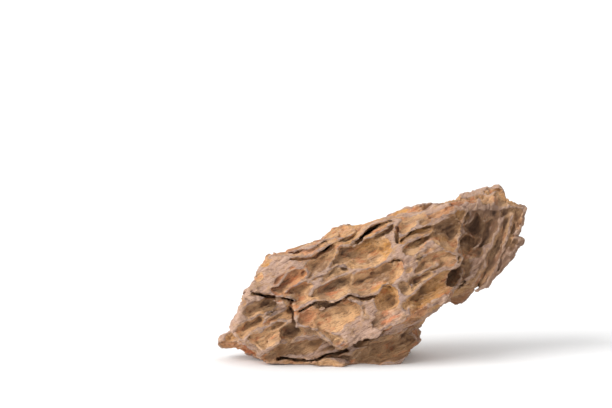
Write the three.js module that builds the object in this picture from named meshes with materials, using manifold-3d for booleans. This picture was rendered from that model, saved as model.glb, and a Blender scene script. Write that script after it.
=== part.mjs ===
// A dragon stone: one piece of weathered clay stone that leans up to the right and rests on a
// small flat on its underside. Units are millimetres, +Z is up, the origin lies on the flat.
//
// The stone is a signed field: leaning slabs give the mass, pits, cracks and hollows are taken
// out of it, and crest lines keep thin ridges of the old skin between the pits. The field is
// turned into a closed surface, thinned to few triangles, and cut level where it rests.

import * as THREE from "three";
import Module from "manifold-3d";

// Driving dimensions

const STONE_LOW = [-98, -52, -9];
const STONE_HIGH = [150, 62, 139];
const GRAIN_RISE = 27;
const GRAIN_TURN = 0.06;
const STONE_COLOUR = 0xa6794f;

// The grid that the field is worked out on, and how far its surface is thinned.
const GRID_STEP = 2.5;
const EDGE_MARGIN = 0.04;
const TRIANGLES = 10400;
const THINNING = { rounds: 6, leastFacing: 0.2, leastBreadth: 0.08, lengthCost: 1e-4 };
const LEVEL_SNAP = 0.2;
const GROUND = { width: 600, depth: 60 };

// Marks on the front are placed as [across, up] on a drawing plane that stands on the origin,
// and are struck into the stone along the lines of sight from this point in front of it.
const SIGHT_POINT = [-25.5, -1509.5, 275.5];
const SIGHT_DROP = 6;
const SIGHT_RANGE = 1530;

// A line of sight starts this far before the plane, and is followed to the skin in careful steps.
const STRIKE = { lead: 150, steps: 90, share: 0.7, back: 3, furthest: 60, miss: 1.5, normalReach: 2 };

// Slow waves bend every straight edge: a size, the share of it that the short wave has, and two
// wave lengths. Each axis is moved by a long and a short wave of its own: direction and phase.
const BODY_WAVES = { size: 1.5, long: 46, short: 19 };
const MARK_WAVES = { size: 0.9, long: 29, short: 11 };
const SHORT_SHARE = 0.55;
const WAVE_SETS = [
  { long: [0, 0.6, 0.8], phase: 1.3, short: [0.2, -0.6, 0.8], shortPhase: 0 },
  { long: [0.6, 0, -0.8], phase: 0.4, short: [0.8, 0, 0.6], shortPhase: 2.1 },
  { long: [0.8, 0.6, 0], phase: 2.6, short: [0.75, -0.65, 0], shortPhase: 0.5 },
];

const SLAB_BLEND = 1.2;
const PIT_BLEND = 0.45;
const CREST_BLEND = 0.8;
const CRACK_BLEND = 0.4;
const HOLLOW_BLEND = 0.6;

// Each slab is an [x, z] outline given a thickness along Y. Its middle plane passes through
// "middle" and leans with x and z, its rims are rounded by "rim", and it thins by "taper" at the
// taper's reach from the middle.
const TAPER_REACH = 110;
const SLABS = [
  {
    name: "core",
    outline: [
      [-80, 24], [-76, 40], [-74, 52], [-62, 63], [-52, 80], [-32, 84], [-12, 93], [14, 101],
      [48, 108], [84, 116], [110, 122], [128, 113], [136, 107], [130, 92], [126, 74],
      [106, 54], [90, 43], [66, 27], [30, 18], [-20, 16], [-60, 18],
    ],
    middle: [25, 10, 65], lean: [0.10, 0.28], half: 36, rim: 26, taper: 14,
  },
  {
    name: "face",
    outline: [
      [-73.5, 49.5], [-71, 55], [-66, 61], [-58, 76], [-49, 83], [-32, 84], [-22, 90], [4, 97],
      [21, 103], [47, 110], [67, 113], [80, 116], [96, 114], [88, 102], [90, 84], [92, 78],
      [85, 66], [80, 50], [60, 36], [40, 34], [10, 40], [-31, 37], [-38, 44], [-46, 46.5],
      [-58, 48.5], [-68, 48],
    ],
    middle: [15, -7, 70], lean: [0.06, 0.30], half: 26, rim: 4, taper: 4,
  },
  {
    name: "lobe",
    outline: [
      [-80, 27], [-77.5, 38], [-76.5, 46], [-73, 51], [-58, 52], [-44, 46], [-37, 38],
      [-36, 30], [-45, 17], [-57, 11], [-68, 16], [-76, 18],
    ],
    middle: [-58, -14, 32], lean: [-0.10, 0.25], half: 20, rim: 5, taper: 0,
  },
  {
    name: "shield",
    outline: [
      [-33, 34], [-31, 38], [-22, 44], [3, 44], [27, 47], [43, 47], [61, 50], [79, 54],
      [74, 44], [62, 37], [49, 30], [38, 25], [19, 23], [8, 17], [-3, 11], [-9, 16],
      [-16, 22], [-28, 24],
    ],
    middle: [20, -19, 38], lean: [0.02, 0.24], half: 20, rim: 4, taper: 0,
  },
  {
    name: "broken end",
    outline: [
      [66, 113], [69, 116], [75, 117], [83, 120.5], [96, 123], [109, 126], [111, 124.5],
      [118, 127], [123, 125], [124, 120], [132, 117], [141, 113.5], [139, 108], [131, 92],
      [137, 89], [126, 72], [115, 61], [101, 48], [88, 39], [70, 40], [60, 80],
    ],
    middle: [100, 10, 85], lean: [0.10, 0.10], half: 20, rim: 4, taper: 0,
  },
  {
    name: "foot",
    outline: [
      [-76, 8], [-63, 3], [-54, 1], [-45, -2], [-30, -4], [36, -4], [49, 0], [58, 6],
      [61, 14], [54, 22], [40, 30], [-60, 32], [-74, 22],
    ],
    middle: [0, 6, 10], lean: [0.04, 0.10], half: 33, rim: 5, taper: 8,
  },
  {
    name: "nub",
    outline: [[-91, 10], [-89, 16], [-81, 22], [-60, 28], [-50, 12], [-66, 4], [-74, 7], [-87, 6.5]],
    middle: [-80, -4, 15], lean: [0, 0.10], half: 13, rim: 5, taper: 0,
  },
  {
    name: "toe",
    outline: [
      [-48, -4], [-46, 2], [-38, 4], [-30, 5], [-14, 5.5], [2, 5], [12, 2], [16, -4],
    ],
    middle: [-16, -20, 2], lean: [0.04, 0.10], half: 24, rim: 2.5, taper: 0,
  },
];

// Pits of the front: across, up, length, width, rise of the long axis in degrees, depth.
const FRONT_PITS = [
  // upper left, between the top rim and the lip over the lobe
  [-38, 58.5, 31.5, 14, 34, 5.5], [-56, 73, 10.5, 9, 60, 4], [-43, 79, 21, 7, 12, 3],
  [-26, 79, 30, 8, 20, 4.5], [-13.5, 72, 37.5, 18, 40, 8], [-30, 47, 28.5, 18, 30, 6],
  [-21, 87, 24, 5, 27, 3], [-4.5, 94, 19.5, 5, 25, 3], [7.5, 94, 10.5, 7, 30, 2.5],
  [1, 88, 22.5, 8, 18, 4], [-60, 62, 13, 5, 40, 1.4], [-67, 54, 10, 4, 30, 1.4],
  // middle
  [-3, 53, 39, 19.5, 40, 14], [25.5, 58.5, 49.5, 24, 24, 11], [-2, 64, 22.5, 9, 18, 5],
  [7.5, 76.5, 28.5, 21, 20, 12], [25.5, 81, 40.5, 21, 27, 10], [27, 95, 37.5, 13.5, 32, 7],
  [46, 70, 7, 4, 30, 2], [52, 68, 8, 4.5, 35, 2.2], [43, 64, 6, 4, 50, 2],
  [20, 98, 10, 4, 30, 2], [36, 106, 10, 4, 25, 2], [48, 110, 9, 4, 25, 2],
  // upper right
  [57, 93, 27, 10, 24, 8], [59, 85.5, 27, 10.5, 22, 8], [51, 102, 16.5, 12, 60, 4],
  [63, 104, 12, 7.5, 20, 4], [79.5, 97.5, 28.5, 19.5, 20, 14], [82, 88.5, 16.5, 13.5, 10, 12],
  [72, 73.5, 36, 12, 24, 5.5], [81, 73, 13.5, 6, 15, 4], [91, 106, 15, 9, 20, 4],
  [90, 117, 12, 7, 20, 4], [99, 120, 10.5, 6, 20, 3], [82.5, 113, 12, 7, 10, 4],
  [73, 109.5, 16.5, 7.5, 20, 4], [114, 122, 19.5, 11, 10, 4],
  [58, 70, 7, 4, 20, 2], [60, 76.5, 9, 4, 25, 2], [66, 79.5, 9, 4, 25, 2],
  [76, 78, 8, 4, 20, 2], [64, 112, 10, 4, 15, 2],
  // lower right of the face
  [61, 61.5, 18, 7.5, 20, 5], [72, 55, 48, 18, 31, 9], [55.5, 42, 18, 11, 25, 7],
  [35, 45, 22.5, 19.5, 60, 11], [49.5, 54, 12, 9, 60, 5], [64.5, 46, 22.5, 7, 28, 5],
  // shield
  [-1.5, 29, 42, 27, 18, 6], [-24, 31, 22.5, 13.5, 38, 6.5], [39, 31.5, 34.5, 13.5, 22, 3.5],
  [30, 36, 9, 4, 25, 1.4],
  // lobe
  [-58.5, 39, 34.5, 12.5, 14, 7], [-64.5, 26, 19.5, 13.5, 55, 6], [-47, 28.5, 27, 10.5, 25, 7],
  [-54, 16, 33, 13.5, 32, 7], [-70, 19.5, 15, 12, 70, 5], [-35, 32, 13.5, 7.5, 75, 9],
  [-37, 19, 19.5, 13.5, 30, 11],
  // foot
  [-30, 8, 39, 10, 12, 6], [-6, 5, 25.5, 7.5, 15, 6], [-50, 4.5, 19.5, 6, 24, 4],
  [-66, 6, 16, 3.5, 25, 3], [8, 1.5, 40, 4, 8, 4], [18, 7, 44, 5, 16, 5],
  [34, 13, 36, 4.5, 22, 5], [48, 7, 26, 4.5, 25, 4], [50, 17, 22, 4, 28, 3.5],
  // broken end
  [100, 101, 21, 15, 80, 14], [111, 97.5, 22.5, 10.5, 75, 10], [97.5, 88.5, 15, 12, 20, 9],
  [103, 79.5, 12, 7.5, 20, 8], [105, 63, 34.5, 7, 65, 7], [112, 73, 31.5, 7, 62, 7],
  [119, 87, 34.5, 8, 70, 7], [126, 98, 27, 8, 65, 6], [97, 55, 28.5, 7, 45, 7],
  [89, 63, 25.5, 9, 50, 8], [119, 72, 22, 6, 60, 4], [115.5, 109, 34.5, 8, 2, 6],
  [132, 108, 19.5, 9, 40, 5], [131, 86, 13.5, 5, 60, 3], [116, 103, 14, 4, 75, 5],
  [122, 92, 20, 3.5, 68, 5], [115, 84, 18, 3.5, 66, 5], [127, 88, 14, 3.5, 64, 4],
  [112, 64, 18, 3.5, 58, 4], [103, 58, 16, 3.5, 50, 4], [94, 49, 14, 3.5, 42, 3],
  [134, 103, 14, 4, 55, 4], [108, 72, 14, 4, 70, 5],
];

// Front pits lean, so that the wall under the upper rim and the left end are the steep ones.
const FRONT_PIT_LEAN = { across: 20, along: 9 };
const PIT_LIFT = 0.3;

// How far beyond its half length a pit can change the field.
const PIT_REACH = 6;

// Pits of the back, top, ends and underside, scattered by a fixed sequence of numbers.
const SCATTER = {
  seed: 4711, tries: 620, aim: [25, 0, 62], spread: [150, 30, 60], start: 170,
  shortest: 16, range: 34, bias: 1.6, width: [0.32, 0.2], depth: [0.28, 0.2], swing: 0.9,
  lean: 24, faceLimit: 0.35, groundLevel: 0.8, groundFacing: -0.5,
};

// Marks of the front stay before a leaning plane, and within this depth of the skin.
const FRONT = { y: 6, height: 65, lean: 0.3, turn: 0.08, depth: 14, margin: 3 };

// Crest lines of the front, as [across, up] places along each ridge.
const CRESTS = [
  // lip over the lobe
  [
    [-73, 50], [-67.5, 51], [-61.5, 50.5], [-55.5, 51.5], [-51, 50],
    [-45, 47], [-39, 45], [-34.5, 43],
  ],
  // lip over the shield
  [
    [-35, 36], [-31.5, 37], [-28, 40], [-23, 42.5], [-18, 44.5], [-13, 44], [-7, 43],
    [-1.5, 44], [3, 46], [7, 47.5], [12, 47], [18, 47], [24, 48], [28, 50], [30, 53],
    [33, 55], [36, 55.5], [39, 54],
  ],
  // rim of the shield
  [
    [-33, 32], [-31.5, 27], [-28, 22.5], [-22, 22.5], [-17, 22.5], [-14, 18], [-9, 14],
    [-5, 10.5], [-1.5, 9.5], [4.5, 12], [9, 15], [13.5, 17], [17, 20], [22.5, 22],
    [30, 22.5], [37.5, 23.5], [43.5, 25.5], [49, 29], [52, 33], [51, 37],
  ],
  // edge of the smooth plate on the shield
  [[9, 44], [13.5, 41], [16.5, 36], [17, 30], [16, 24], [13, 19]],
  // long ridge across the middle
  [
    [-23, 47], [-20, 53], [-15, 56], [-7.5, 58], [0, 60.5], [7.5, 66], [15, 67.5],
    [22.5, 69], [27, 68.5], [32, 71], [36, 73.5], [40, 75], [44, 75.5], [47, 72],
    [48, 67], [46.5, 61], [45, 56],
  ],
  [[-23, 57], [-19, 61], [-13.5, 63], [-7.5, 67], [0, 68.5], [7.5, 68]],
  // ring round the large upper pit
  [
    [-19, 63], [-11, 67], [-6, 72], [-3, 77], [-1.5, 82.5], [3, 83.5], [8, 85],
    [13.5, 86.5], [19.5, 89], [25.5, 92], [31.5, 96], [37.5, 100], [41, 103], [42, 97],
    [41, 89], [43, 85], [40, 80], [36, 76],
  ],
  // ring round the upper left pit
  [
    [-58.5, 50], [-52.5, 55], [-47, 56], [-42, 60], [-37.5, 64.5], [-31.5, 67],
    [-26, 68], [-23, 64], [-24, 59], [-30, 55.5], [-35, 52.5], [-40.5, 49.5],
  ],
  // ridges under the top rim
  [
    [-52.5, 73], [-45, 76], [-37.5, 75], [-30, 76], [-21, 79], [-13.5, 83], [-4.5, 87],
    [4, 90], [9, 94],
  ],
  [[-37.5, 80], [-30, 82], [-21, 85], [-11, 88.5], [-3, 92]],
  [[13, 89], [16.5, 94.5], [21, 98], [27, 101.5], [33, 103.5], [39, 105]],
  [[45, 91], [51, 94], [57, 97], [63, 98.5], [68, 99.5], [75, 105], [81, 107]],
  [[45, 83], [49.5, 86], [53, 88.5], [57, 90], [63, 91], [68, 92]],
  // plate that ends in the nose
  [
    [46.5, 73], [51, 76.5], [56, 79], [63, 82], [68, 86], [72, 86.5], [76, 83],
    [80, 80.5], [86, 79.5], [91, 78.5], [92, 75], [89, 71], [83, 68.5], [77, 66],
    [72, 62.5], [67, 59], [62, 55.5], [58.5, 52.5], [55, 49.5], [51, 47], [48, 43.5],
  ],
  [[48, 61.5], [54, 64.5], [60, 63], [66, 67], [72, 70]],
  // flake over the dark cavity
  [
    [83, 109.5], [88.5, 113], [94, 113.5], [98, 112], [99, 108], [97.5, 104], [94, 100.5],
    [90, 99],
  ],
  // broken end
  [
    [100.5, 115], [105, 113.5], [112.5, 112.5], [120, 111.5], [127.5, 112.5], [135, 114],
    [141, 112.5],
  ],
  [
    [121.5, 109], [118.5, 100], [115.5, 92], [113, 85], [109.5, 77], [108, 70], [104, 62],
    [99, 54],
  ],
  [[130, 106], [126, 97], [124.5, 88], [122, 79], [119, 71], [113, 63], [107, 55.5]],
  [[92, 65], [89, 58.5], [86, 52.5], [81, 46.5], [73.5, 42], [65, 38]],
  [[97.5, 73], [102, 75], [106.5, 73]],
  // ledge of the foot
  [[-57, 2], [-50, 0.5], [-36, 2], [-30, 1.5], [-20, 1], [-15, 2.5], [-3, 5.5], [4, 8.5]],
  // lobe
  [[-73, 28], [-66, 30], [-58.5, 34], [-51, 37.5], [-42, 40]],
  [[-73.5, 11], [-67.5, 17], [-61, 22], [-54, 25.5], [-46, 28.5], [-39, 28]],
  [
    [-80, 25], [-78, 19], [-75, 11], [-68, 10], [-61.5, 7], [-58, 5], [-52.5, 8],
    [-48, 12], [-44, 14],
  ],
];
const CREST_HALF_WIDTH = 0.55;
const CREST_SPREAD = 0.55;
const CREST_RISE = 0.5;

// Cracks of the front: their places, width, depth, and how much they rise under the upper lip.
const CRACKS = [
  {
    line: [[-66, 48.5], [-62, 48], [-57, 47.5], [-50, 46.5], [-44, 45], [-38, 43], [-35, 41.5]],
    width: 2.2, depth: 12, rise: 0.25,
  },
  { line: [[-38, 37.5], [-36, 34], [-35, 29], [-34, 25.5]], width: 3, depth: 8, rise: 0 },
  {
    line: [
      [-31, 34], [-25.5, 37.5], [-21, 40.5], [-16.5, 42.5], [-11, 42], [-5, 41.5], [1, 43],
      [7, 45.5], [13.5, 45], [19.5, 45.5], [25, 46], [28.5, 48],
    ],
    width: 1.8, depth: 8, rise: 0.25,
  },
  { line: [[14, 88.5], [18, 91.5], [22.5, 94.5], [26.5, 97]], width: 2.8, depth: 14, rise: 0.15 },
  { line: [[-18, 76.5], [-14, 79], [-10, 80.5], [-7, 82]], width: 2.4, depth: 8, rise: 0.15 },
  { line: [[43, 99], [43, 94], [43.5, 88]], width: 2.2, depth: 5, rise: 0 },
  {
    line: [[46, 89], [49.5, 91.5], [54, 94.5], [59, 96.5], [67.5, 97.5]],
    width: 1.5, depth: 7, rise: 0.2,
  },
  { line: [[93, 58], [89, 52], [84, 46.5]], width: 1.8, depth: 6, rise: 0 },
  { line: [[111, 100], [109, 92], [106, 85]], width: 2, depth: 7, rise: 0 },
  { line: [[117, 89], [115, 80], [111, 72]], width: 1.5, depth: 6, rise: 0 },
  { line: [[33, 69.5], [37, 71.5], [41, 73], [44.5, 72.5]], width: 1.6, depth: 7, rise: 0.3 },
  { line: [[30, 49.5], [32, 52], [35, 53.5], [38, 53]], width: 1.6, depth: 7, rise: 0.3 },
  { line: [[-15, 25.5], [-10.5, 27], [-8, 25.5]], width: 2.2, depth: 6, rise: 0.2 },
  {
    line: [[-48, -1], [-38, -0.5], [-26, -1], [-15, 0], [-3, 3], [6, 6]],
    width: 2.4, depth: 9, rise: 0.2,
  },
];

// A crack narrows with its depth, from this share of its width, by so much, to the least share.
const CRACK_TAPER = { start: 1.15, loss: 0.5, least: 0.3 };

// Hollows under the overhanging rims: centre, half sizes along, into and across, and rise.
const HOLLOWS = [
  { centre: [46, -36, 16], half: [48, 26, 10.5], rise: 22 },
  { centre: [76, -20, 32], half: [32, 22, 8], rise: 26 },
  { centre: [-46, -40, 8], half: [26, 15, 5], rise: 14 },
  { centre: [-6, -44, 9], half: [24, 15, 6], rise: -10 },
  { centre: [-36, -40, 20], half: [14, 12, 7], rise: 40 },
  { centre: [60, -10, 4], half: [22, 30, 9], rise: 30 },
];

// The sole is a shallow bowl. The level ground cuts it in an oval about the centre, with these
// half sizes, and beyond the oval it rises by so much for each square of the way out.
const SOLE = { centre: [2, -6], half: [50, 28], rise: 1.6 };

// Vectors and small helpers

const radians = THREE.MathUtils.degToRad;
const vector = (list) => new THREE.Vector3(...list);
const sightPoint = vector(SIGHT_POINT);
const rightward = vector([1, 0, 0]);
const inward = vector([0, Math.cos(radians(SIGHT_DROP)), -Math.sin(radians(SIGHT_DROP))]);
const upward = vector([0, Math.sin(radians(SIGHT_DROP)), Math.cos(radians(SIGHT_DROP))]);
const grain = vector([
  Math.cos(radians(GRAIN_RISE)), GRAIN_TURN, Math.sin(radians(GRAIN_RISE)),
]).normalize();
const scatterLean = { across: SCATTER.lean, along: 0 };

function smoothMin(a, b, blend) {
  const overlap = Math.max(blend - Math.abs(a - b), 0) / blend;
  return Math.min(a, b) - (overlap * overlap * blend) / 4;
}

function smoothCut(field, cutter, blend) {
  return -smoothMin(-field, cutter, blend);
}

function waved(x, y, z, { size, long, short }) {
  const wave = (direction, length, phase) => {
    const way = direction[0] * x + direction[1] * y + direction[2] * z;
    return Math.sin((2 * Math.PI * way) / length + phase);
  };
  return [x, y, z].map((value, axis) => {
    const set = WAVE_SETS[axis];
    const slow = wave(set.long, long, set.phase);
    return value + size * (slow + SHORT_SHARE * wave(set.short, short, set.shortPhase));
  });
}

function segmentDistance(px, pz, [ax, az], [bx, bz]) {
  const ex = bx - ax;
  const ez = bz - az;
  const t = THREE.MathUtils.clamp(((px - ax) * ex + (pz - az) * ez) / (ex * ex + ez * ez), 0, 1);
  return Math.hypot(px - ax - t * ex, pz - az - t * ez);
}

function lineDistance(px, pz, line) {
  let nearest = Infinity;
  for (let i = 1; i < line.length; i++) {
    nearest = Math.min(nearest, segmentDistance(px, pz, line[i - 1], line[i]));
  }
  return nearest;
}

// Distance to a closed outline, negative inside.
function outlineDistance(px, pz, outline) {
  let nearest = Infinity;
  let inside = false;
  outline.forEach((a, i) => {
    const b = outline[(i + 1) % outline.length];
    nearest = Math.min(nearest, segmentDistance(px, pz, a, b));
    if (a[1] > pz !== b[1] > pz && px < ((b[0] - a[0]) * (pz - a[1])) / (b[1] - a[1]) + a[0]) {
      inside = !inside;
    }
  });
  return inside ? -nearest : nearest;
}

// Mass of the stone

function slabField(slab, x, y, z) {
  const [mx, my, mz] = slab.middle;
  const plane = my + slab.lean[0] * (x - mx) + slab.lean[1] * (z - mz);
  const half = slab.half - slab.taper * ((x - mx) / TAPER_REACH) ** 2;
  const beside = outlineDistance(x, z, slab.outline) + slab.rim;
  const before = Math.abs(y - plane) - half + slab.rim;
  const outside = Math.hypot(Math.max(beside, 0), Math.max(before, 0));
  return outside + Math.min(Math.max(beside, before), 0) - slab.rim;
}

// Distance below the sole: over 0 where the stone is cut away.
function soleField(x, y, z) {
  const [cx, cy] = SOLE.centre;
  const [rx, ry] = SOLE.half;
  return SOLE.rise * (((x - cx) / rx) ** 2 + ((y - cy) / ry) ** 2 - 1) - z;
}

function bodyField(x, y, z) {
  const [wx, wy, wz] = waved(x, y, z, BODY_WAVES);
  let field = Infinity;
  for (const slab of SLABS) {
    field = smoothMin(field, slabField(slab, wx, wy, wz), SLAB_BLEND);
  }
  return Math.max(field, soleField(wx, wy, z));
}

// Walks from a start point to the skin of the body, or returns null if the line misses it.
function strike(start, direction) {
  const point = start.clone();
  for (let i = 0; i < STRIKE.steps; i++) {
    const distance = bodyField(point.x, point.y, point.z);
    const step = THREE.MathUtils.clamp(distance, -STRIKE.back, STRIKE.furthest);
    point.addScaledVector(direction, step * STRIKE.share);
  }
  return Math.abs(bodyField(point.x, point.y, point.z)) < STRIKE.miss ? point : null;
}

function skinNormal(point) {
  const reach = STRIKE.normalReach;
  const { x, y, z } = point;
  return vector([
    bodyField(x + reach, y, z) - bodyField(x - reach, y, z),
    bodyField(x, y + reach, z) - bodyField(x, y - reach, z),
    bodyField(x, y, z + reach) - bodyField(x, y, z - reach),
  ]).normalize();
}

// Pits

// Turns axis a towards the inside of b and b after it, by an angle in degrees.
function leaned(a, b, degrees) {
  const c = Math.cos(radians(degrees));
  const s = Math.sin(radians(degrees));
  return [
    a.clone().multiplyScalar(c).addScaledVector(b, -s),
    b.clone().multiplyScalar(c).addScaledVector(a, s),
  ];
}

function pitAt(place, heading, normal, length, width, depth, lean) {
  const along = heading.clone().addScaledVector(normal, -heading.dot(normal)).normalize();
  const sideways = new THREE.Vector3().crossVectors(normal, along);
  const [across, leanedOut] = leaned(sideways, normal, lean.across);
  const [out, lengthwise] = leaned(leanedOut, along, lean.along);
  return {
    centre: place.clone().addScaledVector(out, PIT_LIFT * depth),
    axes: [lengthwise, across, out],
    half: [length / 2, width / 2, depth * (1 + PIT_LIFT)],
  };
}

function frontPits() {
  return FRONT_PITS.map(([across, up, length, width, rise, depth]) => {
    const sight = new THREE.Vector3()
      .addScaledVector(rightward, across)
      .addScaledVector(upward, up)
      .sub(sightPoint)
      .normalize();
    const start = sightPoint.clone().addScaledVector(sight, SIGHT_RANGE - STRIKE.lead);
    const place = strike(start, sight);
    const heading = new THREE.Vector3()
      .addScaledVector(rightward, Math.cos(radians(rise)))
      .addScaledVector(upward, Math.sin(radians(rise)));
    return pitAt(place, heading, skinNormal(place), length, width, depth, FRONT_PIT_LEAN);
  });
}

// A fixed sequence of numbers between 0 and 1.
function sequence(seed) {
  let state = seed;
  return () => {
    state = (state * 16807) % 2147483647;
    return state / 2147483647;
  };
}

function scatteredPits() {
  const next = sequence(SCATTER.seed);
  const pits = [];
  for (let i = 0; i < SCATTER.tries; i++) {
    const height = next() * 2 - 1;
    const turn = next() * 2 * Math.PI;
    const level = Math.sqrt(1 - height * height);
    const direction = vector([-level * Math.cos(turn), -level * Math.sin(turn), -height]);
    const drift = SCATTER.spread.map((spread) => (next() - 0.5) * spread);
    const aim = vector(SCATTER.aim).add(vector(drift));
    const [size, slimness, deepness, swing] = [next(), next(), next(), next()];
    const place = strike(aim.addScaledVector(direction, -SCATTER.start), direction);
    if (!place) continue;
    const normal = skinNormal(place);
    const toSight = sightPoint.clone().sub(place).normalize();
    const underneath = place.z < SCATTER.groundLevel && normal.z < SCATTER.groundFacing;
    if (underneath || normal.dot(toSight) > SCATTER.faceLimit) continue;
    const length = SCATTER.shortest + SCATTER.range * size ** SCATTER.bias;
    const width = length * (SCATTER.width[0] + SCATTER.width[1] * slimness);
    const depth = width * (SCATTER.depth[0] + SCATTER.depth[1] * deepness);
    const cross = new THREE.Vector3().crossVectors(normal, grain);
    const heading = grain.clone().addScaledVector(cross, (swing - 0.5) * SCATTER.swing);
    pits.push(pitAt(place, heading, normal, length, width, depth, scatterLean));
  }
  return pits;
}

function hollowPits() {
  return HOLLOWS.map(({ centre, half, rise }) => {
    const along = vector([Math.cos(radians(rise)), 0, Math.sin(radians(rise))]);
    const across = vector([-Math.sin(radians(rise)), 0, Math.cos(radians(rise))]);
    const into = new THREE.Vector3().crossVectors(along, across);
    return { centre: vector(centre), axes: [along, across, into], half: [half[0], half[2], half[1]] };
  });
}

function pitField({ centre, axes, half }, x, y, z) {
  const dx = x - centre.x;
  const dy = y - centre.y;
  const dz = z - centre.z;
  let near = 0;
  let slope = 0;
  axes.forEach((axis, i) => {
    const part = (dx * axis.x + dy * axis.y + dz * axis.z) / half[i];
    near += part * part;
    slope += (part / half[i]) ** 2;
  });
  return (Math.sqrt(near) * (Math.sqrt(near) - 1)) / Math.max(Math.sqrt(slope), 1e-6);
}

// Crests and cracks of the front

// A point's place on the drawing plane, as seen from the sight point.
function seen(x, y, z) {
  const dy = y - SIGHT_POINT[1];
  const dz = z - SIGHT_POINT[2];
  const scale = SIGHT_RANGE / (dy * inward.y + dz * inward.z);
  const across = SIGHT_POINT[0] + (x - SIGHT_POINT[0]) * scale;
  const up = sightPoint.dot(upward) + (dy * upward.y + dz * upward.z) * scale;
  return [across, up];
}

function isFront(x, y, z) {
  return y < FRONT.y + FRONT.lean * (z - FRONT.height) + FRONT.turn * x;
}

function markedField(field, skin, [across, up]) {
  const below = Math.max(-skin, 0);
  let nearest = Infinity;
  for (const crest of CRESTS) {
    nearest = Math.min(nearest, lineDistance(across, up - CREST_RISE * below, crest));
  }
  const spread = CREST_HALF_WIDTH + CREST_SPREAD * below;
  const wall = (nearest - spread) / Math.hypot(1, CREST_SPREAD);
  let result = smoothMin(field, Math.max(wall, skin), CREST_BLEND);
  for (const { line, width, depth, rise } of CRACKS) {
    const narrowing = CRACK_TAPER.start - (CRACK_TAPER.loss * below) / depth;
    const half = (width / 2) * THREE.MathUtils.clamp(narrowing, CRACK_TAPER.least, 1);
    const aside = lineDistance(across, up - rise * below, line) - half;
    result = smoothCut(result, Math.max(aside, below - depth), CRACK_BLEND);
  }
  return result;
}

// The field on a grid of points

function gridPlaces(axis) {
  const count = Math.ceil((STONE_HIGH[axis] - STONE_LOW[axis]) / GRID_STEP) + 1;
  return Array.from({ length: count }, (_, i) => STONE_LOW[axis] + i * GRID_STEP);
}

function stoneGrid() {
  const [xs, ys, zs] = [0, 1, 2].map(gridPlaces);
  const at = (i, j, k) => (i * ys.length + j) * zs.length + k;
  const skin = new Float64Array(xs.length * ys.length * zs.length);
  const places = new Array(skin.length);
  xs.forEach((x, i) => ys.forEach((y, j) => zs.forEach((z, k) => {
    skin[at(i, j, k)] = bodyField(x, y, z);
    places[at(i, j, k)] = waved(x, y, z, MARK_WAVES);
  })));
  const field = Float64Array.from(skin);

  const cutPit = (pit, blend) => {
    const reach = Math.max(...pit.half) + PIT_REACH;
    const counts = [xs.length, ys.length, zs.length];
    const cell = (axis, side) => {
      const offset = pit.centre.getComponent(axis) + side * reach - STONE_LOW[axis];
      return THREE.MathUtils.clamp(Math.floor(offset / GRID_STEP), 0, counts[axis] - 1);
    };
    const [from, to] = [-1, 1].map((side) => [0, 1, 2].map((axis) => cell(axis, side)));
    for (let i = from[0]; i <= to[0]; i++) {
      for (let j = from[1]; j <= to[1]; j++) {
        for (let k = from[2]; k <= to[2]; k++) {
          const n = at(i, j, k);
          field[n] = smoothCut(field[n], pitField(pit, ...places[n]), blend);
        }
      }
    }
  };
  [...frontPits(), ...scatteredPits()].forEach((pit) => cutPit(pit, PIT_BLEND));
  xs.forEach((x, i) => ys.forEach((y, j) => zs.forEach((z, k) => {
    const n = at(i, j, k);
    if (field[n] > -FRONT.depth && skin[n] < FRONT.margin && isFront(x, y, z)) {
      field[n] = markedField(field[n], skin[n], seen(...places[n]));
    }
  })));
  hollowPits().forEach((pit) => cutPit(pit, HOLLOW_BLEND));
  return { field, xs, ys, zs, at };
}

// Closed surface of the field: every grid cube is split into six tetrahedra round its diagonal

const CUBE_PATHS = [
  { steps: [0, 1, 2], even: true },
  { steps: [1, 2, 0], even: true },
  { steps: [2, 0, 1], even: true },
  { steps: [0, 2, 1], even: false },
  { steps: [2, 1, 0], even: false },
  { steps: [1, 0, 2], even: false },
];

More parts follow.
